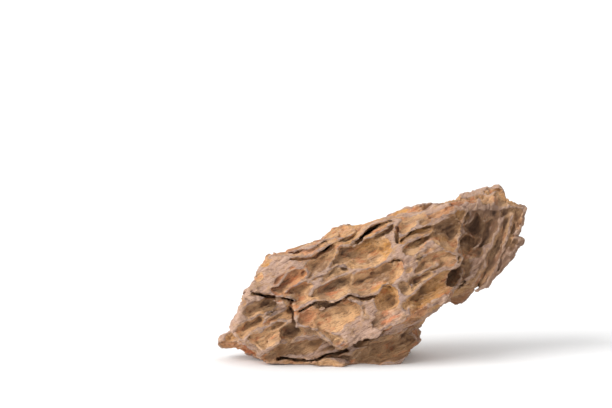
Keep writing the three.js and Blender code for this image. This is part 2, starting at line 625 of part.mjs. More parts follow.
function surfaceOf({ field, xs, ys, zs, at }) {
  const vertices = [];
  const triangles = [];
  const known = new Map();
  const placeOf = (n) => {
    const k = n % zs.length;
    const j = Math.floor(n / zs.length) % ys.length;
    return [xs[Math.floor(n / zs.length / ys.length)], ys[j], zs[k]];
  };
  const crossing = (a, b) => {
    const [low, high] = a < b ? [a, b] : [b, a];
    const key = low * field.length + high;
    if (!known.has(key)) {
      const share = field[low] / (field[low] - field[high]);
      const t = THREE.MathUtils.clamp(share, EDGE_MARGIN, 1 - EDGE_MARGIN);
      const start = placeOf(low);
      known.set(key, vertices.length);
      vertices.push(placeOf(high).map((end, axis) => start[axis] + t * (end - start[axis])));
    }
    return known.get(key);
  };
  const addTriangle = (list, even) => {
    triangles.push(even ? list : [list[0], list[2], list[1]]);
  };
  const addTetrahedron = (corners, even) => {
    const inside = corners.filter((n) => field[n] < 0);
    if (inside.length === 0 || inside.length === 4) return;
    const outside = corners.filter((n) => field[n] >= 0);
    const order = [...inside, ...outside].map((n) => corners.indexOf(n));
    let swaps = 0;
    order.forEach((a, i) => order.slice(i + 1).forEach((b) => { swaps += a > b ? 1 : 0; }));
    const keeps = (swaps % 2 === 0) === even;
    if (inside.length === 2) {
      const [a, b] = inside;
      const [c, d] = outside;
      addTriangle([crossing(a, c), crossing(a, d), crossing(b, d)], keeps);
      addTriangle([crossing(a, c), crossing(b, d), crossing(b, c)], keeps);
    } else {
      const [few, many] = inside.length === 1 ? [inside, outside] : [outside, inside];
      addTriangle(many.map((n) => crossing(few[0], n)), keeps);
    }
  };
  for (let i = 0; i < xs.length - 1; i++) {
    for (let j = 0; j < ys.length - 1; j++) {
      for (let k = 0; k < zs.length - 1; k++) {
        for (const { steps, even } of CUBE_PATHS) {
          const corner = [i, j, k];
          const corners = [at(...corner)];
          for (const axis of steps) {
            corner[axis] += 1;
            corners.push(at(...corner));
          }
          addTetrahedron(corners, even);
        }
      }
    }
  }
  return { vertices, triangles };
}

// Keeps the largest connected piece of the surface, without crumbs and closed-off bubbles.
function largestPiece({ vertices, triangles }) {
  const leader = vertices.map((_, i) => i);
  const find = (i) => {
    while (leader[i] !== i) {
      leader[i] = leader[leader[i]];
      i = leader[i];
    }
    return i;
  };
  for (const [a, b, c] of triangles) {
    leader[find(a)] = find(b);
    leader[find(b)] = find(c);
  }
  const sizes = new Map();
  triangles.forEach(([a]) => sizes.set(find(a), (sizes.get(find(a)) ?? 0) + 1));
  const largest = [...sizes].reduce((best, item) => (item[1] > best[1] ? item : best))[0];
  return { vertices, triangles: triangles.filter(([a]) => find(a) === largest) };
}

// Thinning: the cheapest edges are drawn together first, by the error of the planes they touch

function planeError(points) {
  const [a, b, c] = points;
  const normal = new THREE.Vector3().crossVectors(b.clone().sub(a), c.clone().sub(a));
  const area = normal.length() / 2;
  normal.normalize();
  const { x, y, z } = normal;
  const d = -normal.dot(a);
  return [x * x, x * y, x * z, x * d, y * y, y * z, y * d, z * z, z * d, d * d].map((v) => v * area);
}

// The facing of a triangle, and its height against its longest side.
function faceShape([a, b, c]) {
  const normal = new THREE.Vector3().crossVectors(b.clone().sub(a), c.clone().sub(a));
  const longest = Math.max(a.distanceToSquared(b), b.distanceToSquared(c), c.distanceToSquared(a));
  const breadth = normal.length() / longest;
  return { normal: normal.normalize(), breadth };
}

const errorAt = (q, p) =>
  q[0] * p.x * p.x + 2 * q[1] * p.x * p.y + 2 * q[2] * p.x * p.z + 2 * q[3] * p.x +
  q[4] * p.y * p.y + 2 * q[5] * p.y * p.z + 2 * q[6] * p.y +
  q[7] * p.z * p.z + 2 * q[8] * p.z + q[9];

// The place with the least error, or the middle of the edge where that isn't clear.
function bestPlace(q, a, b) {
  const middle = a.clone().add(b).multiplyScalar(0.5);
  const m = new THREE.Matrix3().set(q[0], q[1], q[2], q[1], q[4], q[5], q[2], q[5], q[7]);
  const scale = (q[0] + q[4] + q[7]) / 3;
  if (Math.abs(m.determinant()) < 1e-3 * scale ** 3) return middle;
  const best = vector([-q[3], -q[6], -q[8]]).applyMatrix3(m.invert());
  return best.distanceTo(middle) < a.distanceTo(b) ? best : middle;
}

// A heap of edges, the cheapest at the top.
class EdgeHeap {
  items = [];

  push(item) {
    const { items } = this;
    let i = items.push(item) - 1;
    while (i > 0) {
      const parent = (i - 1) >> 1;
      if (items[parent].cost <= item.cost) break;
      items[i] = items[parent];
      i = parent;
    }
    items[i] = item;
  }

  pop() {
    const { items } = this;
    const top = items[0];
    const last = items.pop();
    if (items.length === 0) return top;
    let i = 0;
    for (;;) {
      let child = 2 * i + 1;
      if (child >= items.length) break;
      if (child + 1 < items.length && items[child + 1].cost < items[child].cost) child += 1;
      if (items[child].cost >= last.cost) break;
      items[i] = items[child];
      i = child;
    }
    items[i] = last;
    return top;
  }
}

function thinned({ vertices, triangles }, target) {
  const points = vertices.map(vector);
  const faces = triangles.map((t) => [...t]);
  const around = points.map(() => new Set());
  const errors = points.map(() => new Array(10).fill(0));
  const changes = new Uint32Array(points.length);
  faces.forEach((face, f) => {
    const error = planeError(face.map((v) => points[v]));
    for (const v of face) {
      around[v].add(f);
      error.forEach((value, i) => { errors[v][i] += value; });
    }
  });
  const neighbours = (v) => {
    const found = new Set();
    around[v].forEach((f) => faces[f].forEach((other) => found.add(other)));
    found.delete(v);
    return found;
  };
  const heap = new EdgeHeap();
  const offer = (a, b) => {
    const q = errors[a].map((value, i) => value + errors[b][i]);
    const place = bestPlace(q, points[a], points[b]);
    const length = points[a].distanceToSquared(points[b]);
    const cost = Math.max(errorAt(q, place), 0) + THINNING.lengthCost * length;
    heap.push({ a, b, place, cost, stamp: changes[a] + changes[b] });
  };
  // True where moving v to a new place would turn a face over or flatten it to a line.
  const spoils = (v, gone, place) => {
    for (const f of around[v]) {
      if (faces[f].includes(gone)) continue;
      const before = faces[f].map((n) => points[n]);
      const after = faces[f].map((n) => (n === v ? place : points[n]));
      const [was, becomes] = [before, after].map(faceShape);
      const turned = was.normal.dot(becomes.normal) < THINNING.leastFacing;
      const thin = becomes.breadth < Math.min(THINNING.leastBreadth, was.breadth);
      if (turned || thin) return true;
    }
    return false;
  };
  const offerAll = () => {
    points.forEach((_, a) => neighbours(a).forEach((b) => { if (a < b) offer(a, b); }));
  };
  let left = faces.length;
  for (let rounds = 0; left > target && rounds < THINNING.rounds;) {
    if (heap.items.length === 0) {
      offerAll();
      rounds += 1;
    }
    const { a, b, place, stamp } = heap.pop();
    if (around[a].size === 0 || around[b].size === 0 || stamp !== changes[a] + changes[b]) continue;
    const besideB = neighbours(b);
    const shared = [...neighbours(a)].filter((v) => besideB.has(v));
    if (shared.length !== 2 || !besideB.has(a)) continue;
    if (spoils(a, b, place) || spoils(b, a, place)) continue;
    points[a].copy(place);
    errors[a] = errors[a].map((value, i) => value + errors[b][i]);
    for (const f of [...around[b]]) {
      if (faces[f].includes(a)) {
        faces[f].forEach((v) => around[v].delete(f));
        faces[f] = null;
        left -= 1;
      } else {
        faces[f] = faces[f].map((v) => (v === b ? a : v));
        around[a].add(f);
      }
    }
    around[b].clear();
    changes[a] += 1;
    changes[b] += 1;
    neighbours(a).forEach((v) => offer(a, v));
  }
  return { points, faces: faces.filter(Boolean) };
}

// Solids and the flat that the stone rests on

const wasm = await Module();
wasm.setup();

function solidFrom({ points, faces }) {
  const numbers = new Map();
  const vertProperties = [];
  const triVerts = faces.flat().map((v) => {
    if (!numbers.has(v)) {
      numbers.set(v, numbers.size);
      vertProperties.push(...points[v].toArray());
    }
    return numbers.get(v);
  });
  return new wasm.Manifold(new wasm.Mesh({
    numProp: 3,
    vertProperties: Float32Array.from(vertProperties),
    triVerts: Uint32Array.from(triVerts),
  }));
}

// A block whose top face is the level that the stone stands on.
function groundBlock() {
  const { width, depth } = GROUND;
  const box = new THREE.BoxGeometry(width, width, depth).translate(0, 0, -depth / 2);
  const corners = [];
  const numbers = new Map();
  const position = box.getAttribute("position");
  const faces = [];
  const merged = [...box.index.array].map((v) => {
    const corner = vector([position.getX(v), position.getY(v), position.getZ(v)]);
    const key = corner.toArray().join();
    if (!numbers.has(key)) {
      numbers.set(key, corners.length);
      corners.push(corner);
    }
    return numbers.get(key);
  });
  for (let i = 0; i < merged.length; i += 3) {
    faces.push(merged.slice(i, i + 3));
  }
  return solidFrom({ points: corners, faces });
}

function restingStone() {
  const surface = thinned(largestPiece(surfaceOf(stoneGrid())), TRIANGLES);
  for (const point of surface.points) {
    if (Math.abs(point.z) < LEVEL_SNAP) point.z = 0;
  }
  const { vertProperties, triVerts } = solidFrom(surface).subtract(groundBlock()).getMesh();
  const geometry = new THREE.BufferGeometry();
  geometry.setAttribute("position", new THREE.BufferAttribute(vertProperties, 3));
  geometry.setIndex(new THREE.BufferAttribute(triVerts, 1));
  geometry.computeVertexNormals();
  return geometry;
}

const stone = new THREE.Mesh(
  restingStone(),
  new THREE.MeshStandardMaterial({ color: STONE_COLOUR, roughness: 0.92, flatShading: true }),
);
stone.name = "stone";

const dragonStone = new THREE.Group();
dragonStone.add(stone);

export default dragonStone;
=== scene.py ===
import math
from functools import partial

import bpy
import numpy as np
from bpy.props import FloatProperty, FloatVectorProperty, IntProperty, PointerProperty
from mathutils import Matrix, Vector


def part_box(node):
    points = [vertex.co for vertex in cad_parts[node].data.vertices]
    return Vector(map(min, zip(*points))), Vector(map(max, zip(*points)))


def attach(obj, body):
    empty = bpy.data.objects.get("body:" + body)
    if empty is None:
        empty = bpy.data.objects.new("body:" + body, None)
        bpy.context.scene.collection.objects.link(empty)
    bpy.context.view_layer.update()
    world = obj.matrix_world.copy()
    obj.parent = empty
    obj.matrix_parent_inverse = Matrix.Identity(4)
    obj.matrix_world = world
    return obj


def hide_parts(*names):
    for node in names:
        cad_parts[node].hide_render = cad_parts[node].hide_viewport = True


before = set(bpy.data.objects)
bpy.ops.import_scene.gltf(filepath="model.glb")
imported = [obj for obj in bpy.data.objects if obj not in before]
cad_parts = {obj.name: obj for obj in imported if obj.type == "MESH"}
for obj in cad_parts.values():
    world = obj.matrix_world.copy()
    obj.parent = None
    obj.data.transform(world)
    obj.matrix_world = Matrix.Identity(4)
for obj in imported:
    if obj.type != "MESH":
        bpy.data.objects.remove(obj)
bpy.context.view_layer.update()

# A dragon stone: one piece of weathered clay stone. The shape is a signed field in
# millimetres: leaning slabs give the mass, pits, cracks and hollows are taken out of it, and
# crest lines keep thin ridges of the old skin between the pits. A fine surface of that field is
# weathered by Geometry Nodes and takes the place of the frame's plain stone.

bl_info = {
    "name": "Dragon stone",
    "version": (1, 0, 0),
    "blender": (4, 5, 0),
    "location": "View3D > Sidebar > Dragon stone",
    "description": "Builds a weathered clay stone round its packed frame, and a plain stage",
    "category": "Object",
}

MM = 0.001
STONE_NODE = "stone"
STONE_BODY = "root"

# Marks on the front are placed as (across, up) on a drawing plane that stands on the origin,
# and are struck into the stone along the lines of sight from this point in front of it. The
# plane lies at the sight range from the point.
SIGHT_POINT = np.array([-25.5, -1509.5, 275.5])
SIGHT_DROP = math.radians(6)
SIGHT_RANGE = 1530.0
RIGHTWARD = np.array([1.0, 0.0, 0.0])
INWARD = np.array([0.0, math.cos(SIGHT_DROP), -math.sin(SIGHT_DROP)])
UPWARD = np.array([0.0, math.sin(SIGHT_DROP), math.cos(SIGHT_DROP)])
CAMERA_LENS = 120

# A line of sight starts this far before the plane, and is followed to the skin in careful steps.
STRIKE = dict(lead=150, steps=90, share=0.7, back=3, furthest=60, miss=1.5, normal_reach=2)

GRAIN_RISE = math.radians(27)
GRAIN_TURN = 0.06
GRAIN = np.array([math.cos(GRAIN_RISE), GRAIN_TURN, math.sin(GRAIN_RISE)])
GRAIN /= np.linalg.norm(GRAIN)

# In the broken end the grain turns up, about this centre, between these two places along X.
END_GRAIN_RISE = math.radians(62)
END_CENTRE = (98, 0, 80)
END_TURNS = (86, 108)

# Slow waves bend every straight edge: a size and two wave lengths. The short wave has a share of
# the size. Each axis is moved by a long and a short wave of its own: direction and phase.
BODY_WAVES = (1.5, 46, 19)
MARK_WAVES = (0.9, 29, 11)
SHORT_SHARE = 0.55
WAVE_SETS = [
    [((0, 0.6, 0.8), 1.3), ((0.2, -0.6, 0.8), 0)],
    [((0.6, 0, -0.8), 0.4), ((0.8, 0, 0.6), 2.1)],
    [((0.8, 0.6, 0), 2.6), ((0.75, -0.65, 0), 0.5)],
]

SLAB_BLEND = 1.2
PIT_BLEND = 0.45
CREST_BLEND = 0.8
CRACK_BLEND = 0.4
HOLLOW_BLEND = 0.6

# Each slab is an (x, z) outline given a thickness along Y. Its middle plane passes through
# "middle" and leans with x and z, its rims are rounded by "rim", and it thins by "taper" at the
# taper's reach from the middle.
TAPER_REACH = 110
SLABS = [
    # core
    dict(
        outline=[
            (-80, 24), (-76, 40), (-74, 52), (-62, 63), (-52, 80), (-32, 84), (-12, 93), (14, 101),
            (48, 108), (84, 116), (110, 122), (128, 113), (136, 107), (130, 92), (126, 74),
            (106, 54), (90, 43), (66, 27), (30, 18), (-20, 16), (-60, 18),
        ],
        middle=(25, 10, 65), lean=(0.10, 0.28), half=36, rim=26, taper=14,
    ),
    # face
    dict(
        outline=[
            (-73.5, 49.5), (-71, 55), (-66, 61), (-58, 76), (-49, 83), (-32, 84), (-22, 90), (4, 97),
            (21, 103), (47, 110), (67, 113), (80, 116), (96, 114), (88, 102), (90, 84), (92, 78),
            (85, 66), (80, 50), (60, 36), (40, 34), (10, 40), (-31, 37), (-38, 44), (-46, 46.5),
            (-58, 48.5), (-68, 48),
        ],
        middle=(15, -7, 70), lean=(0.06, 0.30), half=26, rim=4, taper=4,
    ),
    # lobe
    dict(
        outline=[
            (-80, 27), (-77.5, 38), (-76.5, 46), (-73, 51), (-58, 52), (-44, 46), (-37, 38),
            (-36, 30), (-45, 17), (-57, 11), (-68, 16), (-76, 18),
        ],
        middle=(-58, -14, 32), lean=(-0.10, 0.25), half=20, rim=5, taper=0,
    ),
    # shield
    dict(
        outline=[
            (-33, 34), (-31, 38), (-22, 44), (3, 44), (27, 47), (43, 47), (61, 50), (79, 54),
            (74, 44), (62, 37), (49, 30), (38, 25), (19, 23), (8, 17), (-3, 11), (-9, 16),
            (-16, 22), (-28, 24),
        ],
        middle=(20, -19, 38), lean=(0.02, 0.24), half=20, rim=4, taper=0,
    ),
    # broken end
    dict(
        outline=[
            (66, 113), (69, 116), (75, 117), (83, 120.5), (96, 123), (109, 126), (111, 124.5),
            (118, 127), (123, 125), (124, 120), (132, 117), (141, 113.5), (139, 108), (131, 92),
            (137, 89), (126, 72), (115, 61), (101, 48), (88, 39), (70, 40), (60, 80),
        ],
        middle=(100, 10, 85), lean=(0.10, 0.10), half=20, rim=4, taper=0,
    ),
    # foot
    dict(
        outline=[
            (-76, 8), (-63, 3), (-54, 1), (-45, -2), (-30, -4), (36, -4), (49, 0), (58, 6),
            (61, 14), (54, 22), (40, 30), (-60, 32), (-74, 22),
        ],
        middle=(0, 6, 10), lean=(0.04, 0.10), half=33, rim=5, taper=8,
    ),
    # nub
    dict(
        outline=[(-91, 10), (-89, 16), (-81, 22), (-60, 28), (-50, 12), (-66, 4), (-74, 7), (-87, 6.5)],
        middle=(-80, -4, 15), lean=(0, 0.10), half=13, rim=5, taper=0,
    ),
    # toe
    dict(
        outline=[
            (-48, -4), (-46, 2), (-38, 4), (-30, 5), (-14, 5.5), (2, 5), (12, 2), (16, -4),
        ],
        middle=(-16, -20, 2), lean=(0.04, 0.10), half=24, rim=2.5, taper=0,
    ),
]

# Colours of the clay seams that the pits have cut into, as sRGB.
SEAMS = {
    "mauve": "#A98A7C",
    "brown": "#8E6C50",
    "tan": "#CB9C70",
    "ochre": "#C08A4A",
    "rust": "#B86A42",
    # The dark seam is no clay: it is painted shade for the floors of deep slots and cavities.
    "painted_shade_dark": "#4A382C",
}

# Colours that the two ends of a pit lean to, and how far. The brown of the start is painted shade.
SHADED_START_SEAM, SHADED_START_SHARE = "brown", 0.45
END_SEAM, END_SHARE = "ochre", 0.4

# A pit's colour fades over this distance from its wall, and ends at this reach. A small share of
# the base seam is in every colour.
SEAM_FADE = 1.6
SEAM_REACH = 4
BASE_SEAM, BASE_SHARE = "brown", 0.15

# How far round a place the solid is averaged, for the painted shade in nooks and in recesses.
NOOK_SHADE_REACH = 5
RECESS_SHADE_REACH = 15

# Rounds of smoothing that the bulge and the depth of the pits get, and the greatest depth counted.
BULGE_ROUNDS = 2
PITTED_ROUNDS = 24
PITTED_DEPTH = 3

# Pits of the front: across, up, length, width, rise of the long axis in degrees, depth, seam.
# Pits of the dark seam have painted shade on their floors.
FRONT_PITS = [
    # upper left, between the top rim and the lip over the lobe
    (-38, 58.5, 31.5, 14, 34, 5.5, "rust"), (-56, 73, 10.5, 9, 60, 4, "ochre"),
    (-43, 79, 21, 7, 12, 3, "mauve"), (-26, 79, 30, 8, 20, 4.5, "rust"),
    (-60, 62, 13, 5, 40, 1.4, "tan"), (-67, 54, 10, 4, 30, 1.4, "mauve"),
    (-13.5, 72, 37.5, 18, 40, 8, "tan"), (-30, 47, 28.5, 18, 30, 6, "tan"),
    (-21, 87, 24, 5, 27, 3, "mauve"), (-4.5, 94, 19.5, 5, 25, 3, "mauve"),
    (7.5, 94, 10.5, 7, 30, 2.5, "ochre"), (1, 88, 22.5, 8, 18, 4, "ochre"),
    # middle
    (-3, 53, 39, 19.5, 40, 14, "brown"), (25.5, 58.5, 49.5, 24, 24, 11, "tan"),
    (-2, 64, 22.5, 9, 18, 5, "brown"), (7.5, 76.5, 28.5, 21, 20, 12, "brown"),
    (25.5, 81, 40.5, 21, 27, 10, "ochre"), (27, 95, 37.5, 13.5, 32, 7, "brown"),
    (46, 70, 7, 4, 30, 2, "rust"), (52, 68, 8, 4.5, 35, 2.2, "tan"), (43, 64, 6, 4, 50, 2, "tan"),
    (20, 98, 10, 4, 30, 2, "rust"), (36, 106, 10, 4, 25, 2, "brown"), (48, 110, 9, 4, 25, 2, "tan"),
    # upper right
    (57, 93, 27, 10, 24, 8, "ochre"), (59, 85.5, 27, 10.5, 22, 8, "brown"),
    (51, 102, 16.5, 12, 60, 4, "tan"), (63, 104, 12, 7.5, 20, 4, "brown"),
    (79.5, 97.5, 28.5, 19.5, 20, 14, "brown"), (82, 88.5, 16.5, 13.5, 10, 12, "ochre"),
    (72, 73.5, 36, 12, 24, 5.5, "tan"), (81, 73, 13.5, 6, 15, 4, "tan"),
    (91, 106, 15, 9, 20, 4, "ochre"), (90, 117, 12, 7, 20, 4, "rust"),
    (99, 120, 10.5, 6, 20, 3, "rust"), (82.5, 113, 12, 7, 10, 4, "rust"),
    (73, 109.5, 16.5, 7.5, 20, 4, "rust"), (114, 122, 19.5, 11, 10, 4, "tan"),
    (58, 70, 7, 4, 20, 2, "brown"), (60, 76.5, 9, 4, 25, 2, "brown"), (66, 79.5, 9, 4, 25, 2, "rust"),
    (76, 78, 8, 4, 20, 2, "tan"), (64, 112, 10, 4, 15, 2, "brown"),
    # lower right of the face
    (61, 61.5, 18, 7.5, 20, 5, "brown"), (72, 55, 48, 18, 31, 9, "ochre"),
    (55.5, 42, 18, 11, 25, 7, "ochre"), (35, 45, 22.5, 19.5, 60, 11, "ochre"),
    (49.5, 54, 12, 9, 60, 5, "brown"), (64.5, 46, 22.5, 7, 28, 5, "ochre"),
    # shield
    (-1.5, 29, 42, 27, 18, 6, "tan"), (-24, 31, 22.5, 13.5, 38, 6.5, "rust"),
    (39, 31.5, 34.5, 13.5, 22, 3.5, "mauve"), (30, 36, 9, 4, 25, 1.4, "mauve"),
    # lobe
    (-58.5, 39, 34.5, 12.5, 14, 7, "brown"), (-64.5, 26, 19.5, 13.5, 55, 6, "tan"),
    (-47, 28.5, 27, 10.5, 25, 7, "tan"), (-54, 16, 33, 13.5, 32, 7, "tan"),
    (-70, 19.5, 15, 12, 70, 5, "tan"), (-35, 32, 13.5, 7.5, 75, 9, "painted_shade_dark"),
    (-37, 19, 19.5, 13.5, 30, 11, "brown"),
    # foot
    (-30, 8, 39, 10, 12, 6, "brown"), (-6, 5, 25.5, 7.5, 15, 6, "brown"),
    (-50, 4.5, 19.5, 6, 24, 4, "brown"), (-66, 6, 16, 3.5, 25, 3, "brown"),
    (8, 1.5, 40, 4, 8, 4, "painted_shade_dark"), (18, 7, 44, 5, 16, 5, "brown"), (34, 13, 36, 4.5, 22, 5, "painted_shade_dark"),
    (48, 7, 26, 4.5, 25, 4, "brown"), (50, 17, 22, 4, 28, 3.5, "rust"),
    # broken end
    (100, 101, 21, 15, 80, 14, "brown"), (111, 97.5, 22.5, 10.5, 75, 10, "brown"),
    (97.5, 88.5, 15, 12, 20, 9, "brown"), (103, 79.5, 12, 7.5, 20, 8, "painted_shade_dark"),
    (105, 63, 34.5, 7, 65, 7, "brown"), (112, 73, 31.5, 7, 62, 7, "brown"),
    (119, 87, 34.5, 8, 70, 7, "brown"), (126, 98, 27, 8, 65, 6, "brown"),
    (97, 55, 28.5, 7, 45, 7, "brown"), (89, 63, 25.5, 9, 50, 8, "brown"),
    (119, 72, 22, 6, 60, 4, "mauve"), (115.5, 109, 34.5, 8, 2, 6, "mauve"),
    (132, 108, 19.5, 9, 40, 5, "brown"), (131, 86, 13.5, 5, 60, 3, "brown"),
    (116, 103, 14, 4, 75, 5, "painted_shade_dark"), (122, 92, 20, 3.5, 68, 5, "brown"), (115, 84, 18, 3.5, 66, 5, "painted_shade_dark"),
    (127, 88, 14, 3.5, 64, 4, "ochre"), (112, 64, 18, 3.5, 58, 4, "rust"), (103, 58, 16, 3.5, 50, 4, "brown"),
    (94, 49, 14, 3.5, 42, 3, "painted_shade_dark"), (134, 103, 14, 4, 55, 4, "rust"), (108, 72, 14, 4, 70, 5, "painted_shade_dark"),
]

# Front pits lean, so that the wall under the upper rim and the left end are the steep ones.
FRONT_LEAN = (20, 9)
PIT_LIFT = 0.3

# How far beyond its half length a pit can change the field.
PIT_REACH = 6

# Pits of the back, top, ends and underside, scattered by a fixed sequence of numbers.
SCATTER = dict(
    seed=4711, tries=620, aim=(25, 0, 62), spread=(150, 30, 60), start=170,
    shortest=16, span=34, bias=1.6, width=(0.32, 0.2), depth=(0.28, 0.2), swing=0.9,
    lean=24, face_limit=0.35, ground_level=0.8, ground_facing=-0.5,
    seams=("ochre", "tan", "brown", "rust", "brown"),
)

# Marks of the front stay before a leaning plane, and within this depth of the skin.
FRONT = dict(y=6, height=65, lean=0.3, turn=0.08, depth=14, margin=3)

# Crest lines of the front, as (across, up) places along each ridge.
CRESTS = [
    # lip over the lobe
    [
        (-73, 50), (-67.5, 51), (-61.5, 50.5), (-55.5, 51.5), (-51, 50),
        (-45, 47), (-39, 45), (-34.5, 43),
    ],
    # lip over the shield
    [
        (-35, 36), (-31.5, 37), (-28, 40), (-23, 42.5), (-18, 44.5), (-13, 44), (-7, 43),
        (-1.5, 44), (3, 46), (7, 47.5), (12, 47), (18, 47), (24, 48), (28, 50), (30, 53),
        (33, 55), (36, 55.5), (39, 54),
    ],
    # rim of the shield
    [
        (-33, 32), (-31.5, 27), (-28, 22.5), (-22, 22.5), (-17, 22.5), (-14, 18), (-9, 14),
        (-5, 10.5), (-1.5, 9.5), (4.5, 12), (9, 15), (13.5, 17), (17, 20), (22.5, 22),
        (30, 22.5), (37.5, 23.5), (43.5, 25.5), (49, 29), (52, 33), (51, 37),
    ],
    # edge of the smooth plate on the shield
    [(9, 44), (13.5, 41), (16.5, 36), (17, 30), (16, 24), (13, 19)],
    # long ridge across the middle
    [
        (-23, 47), (-20, 53), (-15, 56), (-7.5, 58), (0, 60.5), (7.5, 66), (15, 67.5),
        (22.5, 69), (27, 68.5), (32, 71), (36, 73.5), (40, 75), (44, 75.5), (47, 72),
        (48, 67), (46.5, 61), (45, 56),
    ],
    [(-23, 57), (-19, 61), (-13.5, 63), (-7.5, 67), (0, 68.5), (7.5, 68)],
    # ring round the large upper pit
    [
        (-19, 63), (-11, 67), (-6, 72), (-3, 77), (-1.5, 82.5), (3, 83.5), (8, 85),
        (13.5, 86.5), (19.5, 89), (25.5, 92), (31.5, 96), (37.5, 100), (41, 103), (42, 97),
        (41, 89), (43, 85), (40, 80), (36, 76),
    ],
    # ring round the upper left pit
    [
        (-58.5, 50), (-52.5, 55), (-47, 56), (-42, 60), (-37.5, 64.5), (-31.5, 67),
        (-26, 68), (-23, 64), (-24, 59), (-30, 55.5), (-35, 52.5), (-40.5, 49.5),
    ],
    # ridges under the top rim
    [
        (-52.5, 73), (-45, 76), (-37.5, 75), (-30, 76), (-21, 79), (-13.5, 83), (-4.5, 87),
        (4, 90), (9, 94),
    ],
    [(-37.5, 80), (-30, 82), (-21, 85), (-11, 88.5), (-3, 92)],
    [(13, 89), (16.5, 94.5), (21, 98), (27, 101.5), (33, 103.5), (39, 105)],
    [(45, 91), (51, 94), (57, 97), (63, 98.5), (68, 99.5), (75, 105), (81, 107)],
    [(45, 83), (49.5, 86), (53, 88.5), (57, 90), (63, 91), (68, 92)],
    # plate that ends in the nose
    [
        (46.5, 73), (51, 76.5), (56, 79), (63, 82), (68, 86), (72, 86.5), (76, 83),
        (80, 80.5), (86, 79.5), (91, 78.5), (92, 75), (89, 71), (83, 68.5), (77, 66),
        (72, 62.5), (67, 59), (62, 55.5), (58.5, 52.5), (55, 49.5), (51, 47), (48, 43.5),
    ],
    [(48, 61.5), (54, 64.5), (60, 63), (66, 67), (72, 70)],
    # flake over the dark cavity
    [(83, 109.5), (88.5, 113), (94, 113.5), (98, 112), (99, 108), (97.5, 104), (94, 100.5), (90, 99)],
    # broken end
    [(100.5, 115), (105, 113.5), (112.5, 112.5), (120, 111.5), (127.5, 112.5), (135, 114), (141, 112.5)],
    [
        (121.5, 109), (118.5, 100), (115.5, 92), (113, 85), (109.5, 77), (108, 70), (104, 62),
        (99, 54),
    ],
    [(130, 106), (126, 97), (124.5, 88), (122, 79), (119, 71), (113, 63), (107, 55.5)],
    [(92, 65), (89, 58.5), (86, 52.5), (81, 46.5), (73.5, 42), (65, 38)],
    [(97.5, 73), (102, 75), (106.5, 73)],
    # ledge of the foot
    [(-57, 2), (-50, 0.5), (-36, 2), (-30, 1.5), (-20, 1), (-15, 2.5), (-3, 5.5), (4, 8.5)],
    # lobe
    [(-73, 28), (-66, 30), (-58.5, 34), (-51, 37.5), (-42, 40)],
    [(-73.5, 11), (-67.5, 17), (-61, 22), (-54, 25.5), (-46, 28.5), (-39, 28)],
    [
        (-80, 25), (-78, 19), (-75, 11), (-68, 10), (-61.5, 7), (-58, 5), (-52.5, 8),
        (-48, 12), (-44, 14),
    ],
]
CREST_HALF_WIDTH = 0.55
CREST_SPREAD = 0.55
CREST_RISE = 0.5

# Cracks of the front: places along each, width, depth, and rise under the upper lip.
CRACKS = [
    ([(-66, 48.5), (-62, 48), (-57, 47.5), (-50, 46.5), (-44, 45), (-38, 43), (-35, 41.5)], 2.2, 12, 0.25),
    ([(-38, 37.5), (-36, 34), (-35, 29), (-34, 25.5)], 3.0, 8, 0),
    (
        [
            (-31, 34), (-25.5, 37.5), (-21, 40.5), (-16.5, 42.5), (-11, 42), (-5, 41.5), (1, 43),
            (7, 45.5), (13.5, 45), (19.5, 45.5), (25, 46), (28.5, 48),
        ],
        1.8, 8, 0.25,
    ),
    ([(14, 88.5), (18, 91.5), (22.5, 94.5), (26.5, 97)], 2.8, 14, 0.15),
    ([(-18, 76.5), (-14, 79), (-10, 80.5), (-7, 82)], 2.4, 8, 0.15),
    ([(43, 99), (43, 94), (43.5, 88)], 2.2, 5, 0),
    ([(46, 89), (49.5, 91.5), (54, 94.5), (59, 96.5), (67.5, 97.5)], 1.5, 7, 0.2),
    ([(93, 58), (89, 52), (84, 46.5)], 1.8, 6, 0),
    ([(111, 100), (109, 92), (106, 85)], 2.0, 7, 0),
    ([(117, 89), (115, 80), (111, 72)], 1.5, 6, 0),
    ([(33, 69.5), (37, 71.5), (41, 73), (44.5, 72.5)], 1.6, 7, 0.3),
    ([(30, 49.5), (32, 52), (35, 53.5), (38, 53)], 1.6, 7, 0.3),
    ([(-15, 25.5), (-10.5, 27), (-8, 25.5)], 2.2, 6, 0.2),
    ([(-48, -1), (-38, -0.5), (-26, -1), (-15, 0), (-3, 3), (6, 6)], 2.4, 9, 0.2),
]

# A crack narrows with its depth, from this share of its width, by so much, to the least share.
# It is cut only this far beside and below its line, and this far above it, where it rises.
CRACK_TAPER = dict(start=1.15, loss=0.5, least=0.3)
CRACK_REACH = 8
CRACK_REACH_UP = 14

# Hollows under the overhanging rims: centre, half sizes along, into and across, rise.
HOLLOWS = [
    ((46, -36, 16), (48, 26, 10.5), 22),
    ((76, -20, 32), (32, 22, 8), 26),
    ((-46, -40, 8), (26, 15, 5), 14),
    ((-6, -44, 9), (24, 15, 6), -10),
    ((-36, -40, 20), (14, 12, 7), 40),
    ((60, -10, 4), (22, 30, 9), 30),
]

# The sole is a shallow bowl. The level ground cuts it in an oval about the centre, with these
# half sizes, and beyond the oval it rises by so much for each square of the way out.
SOLE = dict(centre=(2, -6), half=(50, 28), rise=1.6)

# Room round the stone on the grid that it is carved on, and the corners of a cell of it. A place
# on a grid stays this many steps short of its number of points, so that it lies in a whole cell.
GRID_MARGIN = 7.0
CELL_CORNERS = [(i, j, k) for i in (0, 1) for j in (0, 1) for k in (0, 1)]
LAST_CELL = 1.001


# Small helpers

